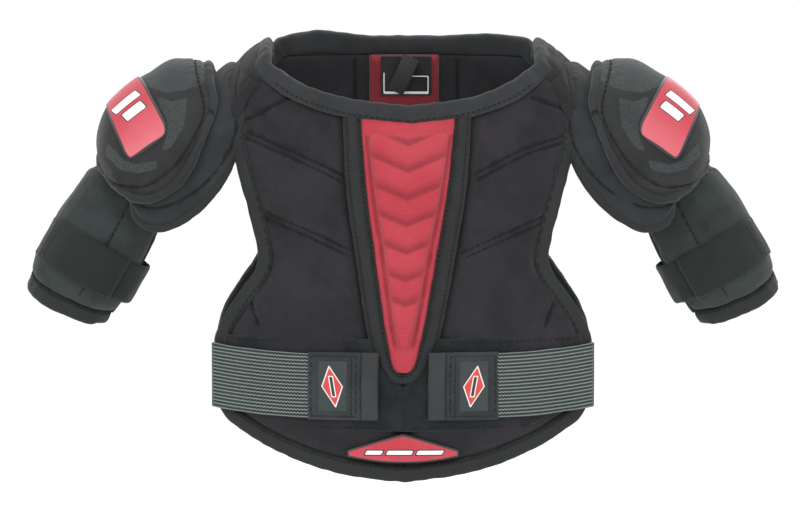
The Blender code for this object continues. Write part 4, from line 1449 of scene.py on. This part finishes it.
def shoulder(side, word):
    body = word + "_shoulder"

    def reach(u):
        """How far down the cap goes at u: less near its inner and outer corners."""
        return 0.985 - 0.15 * np.exp(-((u / 0.10) ** 2)) - 0.10 * np.exp(-(((1 - u) / 0.08) ** 2))

    def dome(s, t):
        u = mix(CAP_U0, 0.985, s)
        return cap_point(u, mix(-1, 1, t) * reach(u))

    grid = Grid(dome, 0.135, 0.230, step=2.2 * MM, centre=CAP_CENTRE, side=side)
    crown = step_up((np.minimum(grid.dv, grid.du) - 5.0 * MM) / (3.0 * MM))
    outer = -2.2 * MM + 2.4 * MM * crown - 2.0 * MM * (1 - pillow(grid.d, 4 * MM))
    obj = shell(word + "_cap_dome", grid, outer, -6.6 * MM, materials["cap"])
    zone = np.full(grid.s.shape, -1.0)
    x, z = seen_from_front(grid.P)
    for corners in CAP_ZONES:
        zone = np.maximum(zone, polygon_distance(x, z, list(corners)) * MM)
    put(obj.data, "zone", "FLOAT", np.concatenate([zone.ravel(), np.full(zone.size, -1.0)]))
    puff(obj, held(grid, 7 * MM, 4 * MM), pressure=1.2, cap=0.8 * MM)
    refine(obj)

    def ring(inner, outer, share, rounds):
        """A closed line round the cap, parallel to its edge."""
        u = np.linspace(inner, outer, 80)
        end, start = share * reach(outer), share * reach(inner)
        pairs = np.concatenate([
            np.stack([u, -share * reach(u)], 1),
            np.stack([0 * u + outer, np.linspace(-end, end, 80)], 1),
            np.stack([u, share * reach(u)], 1)[::-1],
            np.stack([0 * u + inner, np.linspace(start, -start, 80)], 1),
        ])
        looped = smooth_line(np.tile(pairs, (3, 1)), rounds)[len(pairs): 2 * len(pairs)]
        return np.concatenate([looped, looped[:3]])

    row, up = cap_line(ring(CAP_U0 + 0.06, 0.935, 0.905, 40), side)
    emboss(obj, lambda b, c, e: groove(b, [row], 1.1 * MM, 1.5 * MM)
           + puckers(b, [row], 6 * MM, 0.008, 0.28 * MM) + noise(b, 0.05) * 0.35 * MM)
    sew(obj, body, row, up, length=3.6 * MM, gap=2.0 * MM, radius=0.66 * MM)
    settle(obj, body, [word + "_cap_cover"])

    # thick rolled rim
    loop = ring(CAP_U0 + 0.008, 0.978, 0.988, 24)
    line, normal = cap_line(loop, side, lift=-6.2 * MM, step=2.4 * MM)
    rim = tape(word + "_cap_rim", line, normal, 4.4 * MM, 12.4 * MM, materials["flap"], 18,
               0.3 * MM, 1.0)
    settle(rim, body)

    # foam under the plastic cup
    def under(s, t):
        return cap_point(mix(0.09, 0.965, s), mix(-0.955, 0.955, t))

    grid = Grid(under, 0.125, 0.220, step=3.4 * MM, centre=CAP_CENTRE, side=side)
    inner = -12.4 * MM + 1.4 * MM * (1 - pillow(grid.d, 6 * MM))
    foam = shell(word + "_cap_padding", grid, -9.0 * MM, inner, materials["foam"])
    refine(foam)
    settle(foam, body, [word + "_cap_foam"])

    # larger flap below the cap: it starts on the shoulder, inside the cap's hinge
    def skirt(s, t):
        return flap_point(s, mix(-1.0, 1.0, t))

    grid = Grid(skirt, 0.150, 0.250, step=2.4 * MM, centre=FLAP_CENTRE, side=side)
    outer = 0.6 * MM + 2.8 * MM * pillow(np.maximum(0, grid.d - 2 * MM), 7 * MM)
    obj = shell(word + "_cap_skirt", grid, outer, -2.0 * MM, materials["flap"])
    puff(obj, held(grid, 6 * MM, 4 * MM), pressure=1.5, cap=1.0 * MM)
    refine(obj)
    lines = {}
    for name, inner, reach, lift in (("row", 0.065, 0.900, 0.0), ("edge", 0.0, 1.0, 0.6 * MM)):
        u = np.linspace(inner, 1.0, 90)
        v = np.linspace(-reach, reach, 60)
        pairs = smooth_line(np.concatenate([
            np.stack([u[::-1], 0 * u - reach], 1), np.stack([0 * v + inner, v], 1),
            np.stack([u, 0 * u + reach], 1),
        ]), 60)
        lines[name] = surface_line(flap_point, pairs, side, FLAP_CENTRE, 2.0 * MM, lift)
    row, up = lines["row"]
    emboss(obj, lambda b, c, e: groove(b, [row], 1.0 * MM, 1.5 * MM)
           + puckers(b, [row], 6 * MM, 0.008, 0.3 * MM) + noise(b, 0.04) * 0.4 * MM)
    hem = tape(word + "_flap_binding", *lines["edge"], 3.4 * MM, 5.2 * MM, materials["tape"], 12,
               0.25 * MM, 0.8)
    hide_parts(word + "_cap_flap")
    for cloth in (obj, hem):
        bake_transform(cloth)
    sew(obj, body, row[8:-8], up[8:-8], length=2.8 * MM, gap=1.6 * MM)

    badge(side, word, body)


def badge(side, word, body):
    """Raised rubber badge on the cap: a rounded slanted panel with two plain blocks."""
    corners = np.array([cap_uv(c) for c in BADGE_CORNERS])
    stretch = 0.22  # the badge reaches on over the top of the cap, out of the front view
    corners[0] += stretch * (corners[0] - corners[3])
    corners[1] += stretch * (corners[1] - corners[2])
    top_in, top_out, low_out, low_in = corners[:, :, None, None]
    r = 0.22  # rounding of the corners, as a share of half the badge

    def place(s, t):
        a, b = 2 * s - 1, 2 * t - 1
        over = np.clip(np.abs(b) - (1 - r), 0, r)
        extent = 1 - r + np.sqrt(np.maximum(r * r - over**2, 0))
        p, q = (a * extent + 1) / 2, (b + 1) / 2
        return cap_point(*mix(mix(low_in, low_out, p), mix(top_in, top_out, p), q))

    grid = Grid(place, 0.040, 0.075, step=1.1 * MM, centre=CAP_CENTRE, side=side)
    outer = 0.6 * MM + 1.7 * MM * pillow(grid.d, 1.8 * MM)
    obj = shell(word + "_badge_panel", grid, outer, -2.2 * MM, materials["badge"])
    x = grid.A - grid.A[-1:] / 2
    y = grid.B - grid.B[:, -1:] / 2
    mark = np.full_like(x, 0.05)
    for cx, cy, reach in ((-0.0015, -0.0080, 0.0090), (0.0015, 0.0065, 0.0120)):
        mark = np.minimum(mark, bar(x, y, cx, cy, reach, 0.0046, 0.25))
    marks(obj, grid.d, 1 - grid.t * 1.6, mark)
    refine(obj)
    settle(obj, body, [word + "_cap_badge"])


# ---------------------------------------------------------------- biceps guards


def guard_hem(angle):
    return -0.160 - 0.010 * np.abs(np.sin(angle)) - 0.006 * np.maximum(0.0, np.cos(angle))


def guard_top(angle):
    return -0.045 - 0.025 * np.maximum(0.0, np.cos(angle))


def arm_patch(angle_from, angle_to, low, top):
    def place(s, t):
        angle = mix(angle_from, angle_to, s)
        return arm_point(angle, mix(low(angle), top(angle), t))

    return place


def arm_line(pairs, side, lift=0.0, step=LINE_STEP):
    """Points and normals on the guard's base surface along (angle, height) pairs."""
    angle, z = np.asarray(pairs, float).T
    turn, rise = 1e-3, 1e-4
    around = arm_point(angle + turn, z) - arm_point(angle - turn, z)
    upward = arm_point(angle, z + rise) - arm_point(angle, z - rise)
    n = unit(np.cross(around, upward))
    line = mirrored(arm_point(angle, z) + n * lift, side)
    both = resample(np.concatenate([line, mirrored(n, side)], 1), step)
    return both[:, :3], unit(both[:, 3:])


def biceps(side, word):
    body = word + "_biceps"
    centre = (arm_point(0.0, -0.12) + arm_point(math.pi, -0.12)) / 2

    def cuff(low, top, step):
        place = arm_patch(-GUARD_WRAP, GUARD_WRAP, low, top)
        return Grid(place, 0.212, 0.115, step=step, centre=centre, side=side)

    grid = cuff(lambda a: guard_hem(a) + 1.0 * MM, guard_top, 2.6 * MM)
    outer = -3.6 * MM + 4.0 * MM * pillow(np.maximum(0, grid.d - 1.0 * MM), 8 * MM)
    outer = outer + 0.6 * MM * noise(grid.P, 0.06)
    obj = shell(word + "_guard_pad", grid, outer, -6.6 * MM, materials["biceps"])
    puff(obj, held(grid, 0.0, 5 * MM), pressure=1.6, cap=1.0 * MM)
    refine(obj)
    rows = [arm_line(np.linspace((angle, -0.162), (angle, -0.055), 60), side)
            for angle in (-GUARD_SEAM, GUARD_SEAM)]
    emboss(obj, lambda b, c, e: groove(b, [r[0] for r in rows], 0.7 * MM, 1.5 * MM)
           + noise(b, 0.035) * 0.5 * MM + noise(b, 0.012) * 0.12 * MM)
    for row, up in rows:
        sew(obj, body, row, up)
    settle(obj, body, [word + "_biceps_pad"])

    grid = cuff(lambda a: guard_hem(a) + 1.5 * MM, lambda a: guard_top(a) - 1.0 * MM, 3.2 * MM)
    inner = -11.0 * MM - 0.8 * MM * np.abs(np.sin(grid.A / 0.012 * math.pi))
    obj = shell(word + "_guard_lining", grid, -9.0 * MM, inner, materials["liner"])
    refine(obj)
    settle(obj, body, [word + "_biceps_liner"])

    angle = np.linspace(-GUARD_WRAP, GUARD_WRAP, 120)
    along_edge = {"side": side, "lift": -5.4 * MM, "step": 2.2 * MM}
    line, normal = arm_line(np.stack([angle, guard_hem(angle) - 4.8 * MM], 1), **along_edge)
    hem = tape(word + "_guard_hem", line, normal, 6.4 * MM, 9.6 * MM, materials["tape"], 16, 0.3 * MM)
    row, up = arm_line(np.stack([angle, guard_hem(angle) - 0.6 * MM], 1), side)
    sew(hem, body, row, up)
    settle(hem, body, [word + "_biceps_tape"])
    upright = np.linspace((GUARD_WRAP, float(guard_hem(GUARD_WRAP))), (GUARD_WRAP, -0.047), 60)
    for name, pairs, tall in (
        ("_guard_top_binding", np.stack([angle, guard_top(angle) - 1.0 * MM], 1), 8.4 * MM),
        ("_guard_side_binding_front", upright * [-1, 1], 8.8 * MM),
        ("_guard_side_binding_rear", upright, 8.8 * MM),
    ):
        line, normal = arm_line(pairs, **along_edge)
        obj = tape(word + name, line, normal, 3.6 * MM, tall, materials["tape"], 12, 0.25 * MM, 0.8)
        settle(obj, body)

    # elastic that closes the guard, and the strap end that peels off
    def round_band(name, ends, lifts, look, body_name, node, step=1.6 * MM, grow=0.0):
        place = arm_patch(*ends, lambda a: BAND_LOW - grow + 0 * a, lambda a: BAND_TOP + grow + 0 * a)
        made = flat_piece(name, place, 0.04 * (ends[1] - ends[0]), 0.033, *lifts, materials[look],
                          step, side, centre, 0.7 * MM)
        emboss(made, lambda b, c, e: noise(b, 0.025) * 0.3 * MM)
        settle(made, body_name, [node])
        return made

    strap = word + "_arm_strap"
    round_band(word + "_arm_elastic", (GUARD_ARC - 0.20, 2 * math.pi + BAND_HINGE - 0.03),
               (0.9 * MM, 2.6 * MM), "arm_band", body, word + "_arm_band")
    round_band(strap + "_hooks", (BAND_START - 0.75, BAND_START - 0.10), (0.6 * MM, 1.6 * MM),
               "hook", strap, word + "_arm_hook")
    web = round_band(strap + "_web", (BAND_HINGE + 0.02, BAND_START - 0.13), (1.5 * MM, 3.7 * MM),
                     "arm_band", strap, strap, grow=1.5 * MM)
    low, high = BAND_LOW + 3 * MM, BAND_TOP - 3 * MM
    for at in (BAND_START - 0.22, BAND_START - 0.28):
        row, up = arm_line(np.linspace((at, low), (at, high), 20), side)
        sew(web, strap, row, up, **FINE_STITCH)
    round_band(strap + "_grip_tab", (BAND_START - 0.15, BAND_START + 0.12), (1.7 * MM, 4.1 * MM),
               "grip", strap, word + "_arm_grip", 1.2 * MM)


# ---------------------------------------------------------------- everything

for sign, side_name in ((1, "left"), (-1, "right")):
    chest_panel(sign, side_name)
    waist_straps(sign, side_name)
    yoke(sign, side_name)
    shoulder(sign, side_name)
    biceps(sign, side_name)
vee_tape()
sternum_pad()
neck_ring()
edge_tapes()
linings()
back_side()
spine_strip()
label_and_loop()
belly_badge()
make_threads()

PLATES = ("spine_plate", "sternum_plate", "left_cap_shell", "right_cap_shell", "left_biceps_plate",
          "right_biceps_plate")
for plate in PLATES:
    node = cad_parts[plate]
    node.data.materials.clear()
    node.data.materials.append(materials["plastic"])

# ---------------------------------------------------------------- camera, floor and light

AIM = Vector((-0.0023, -0.060, -0.1513))
ELEVATION = math.radians(6.0)
LENS = 300.0
SENSOR = 36.0
FRAME_WIDTH = 0.616
distance = FRAME_WIDTH * LENS / SENSOR
camera_data = bpy.data.cameras.new("camera")
camera_data.lens = LENS
camera_data.sensor_width = SENSOR
camera = bpy.data.objects.new("camera", camera_data)
camera.location = AIM + Vector((0, -math.cos(ELEVATION), math.sin(ELEVATION))) * distance
camera.rotation_euler = (math.pi / 2 - ELEVATION, 0, 0)
scene.collection.objects.link(camera)
scene.camera = camera

FLOOR_Z = -0.52
FLOOR_HALF = 8
corners = [(x * FLOOR_HALF, y * FLOOR_HALF, FLOOR_Z) for x, y in ((-1, -1), (1, -1), (1, 1), (-1, 1))]
mesh = bpy.data.meshes.new("floor")
mesh.from_pydata(corners, [], [(0, 1, 2, 3)])
floor = bpy.data.objects.new("floor", mesh)
scene.collection.objects.link(floor)
pale = Shade("floor", roughness=0.9)
pale.finish((0.92, 0.92, 0.92, 1))
mesh.materials.append(pale.material)

world = bpy.data.worlds.new("studio")
world.use_nodes = True
world.node_tree.nodes["Background"].inputs["Color"].default_value = (1, 1, 1, 1)
world.node_tree.nodes["Background"].inputs["Strength"].default_value = 1.1
scene.world = world
scene.view_settings.view_transform = "Standard"

for name, place, size, power in (
    ("key", (-0.9, -1.6, 1.1), 1.2, 9.0),
    ("fill", (1.3, -1.4, 0.5), 1.4, 5.0),
    ("top", (0.0, -0.1, 1.5), 1.4, 6.0),
    ("rear", (0.2, 1.6, 0.7), 1.4, 6.0),
):
    data = bpy.data.lights.new(name, "AREA")
    data.size = size
    data.energy = power
    light = bpy.data.objects.new(name, data)
    light.location = place
    light.rotation_euler = (Vector(TORSO_CENTRE) - Vector(place)).to_track_quat("-Z", "Y").to_euler()
    scene.collection.objects.link(light)
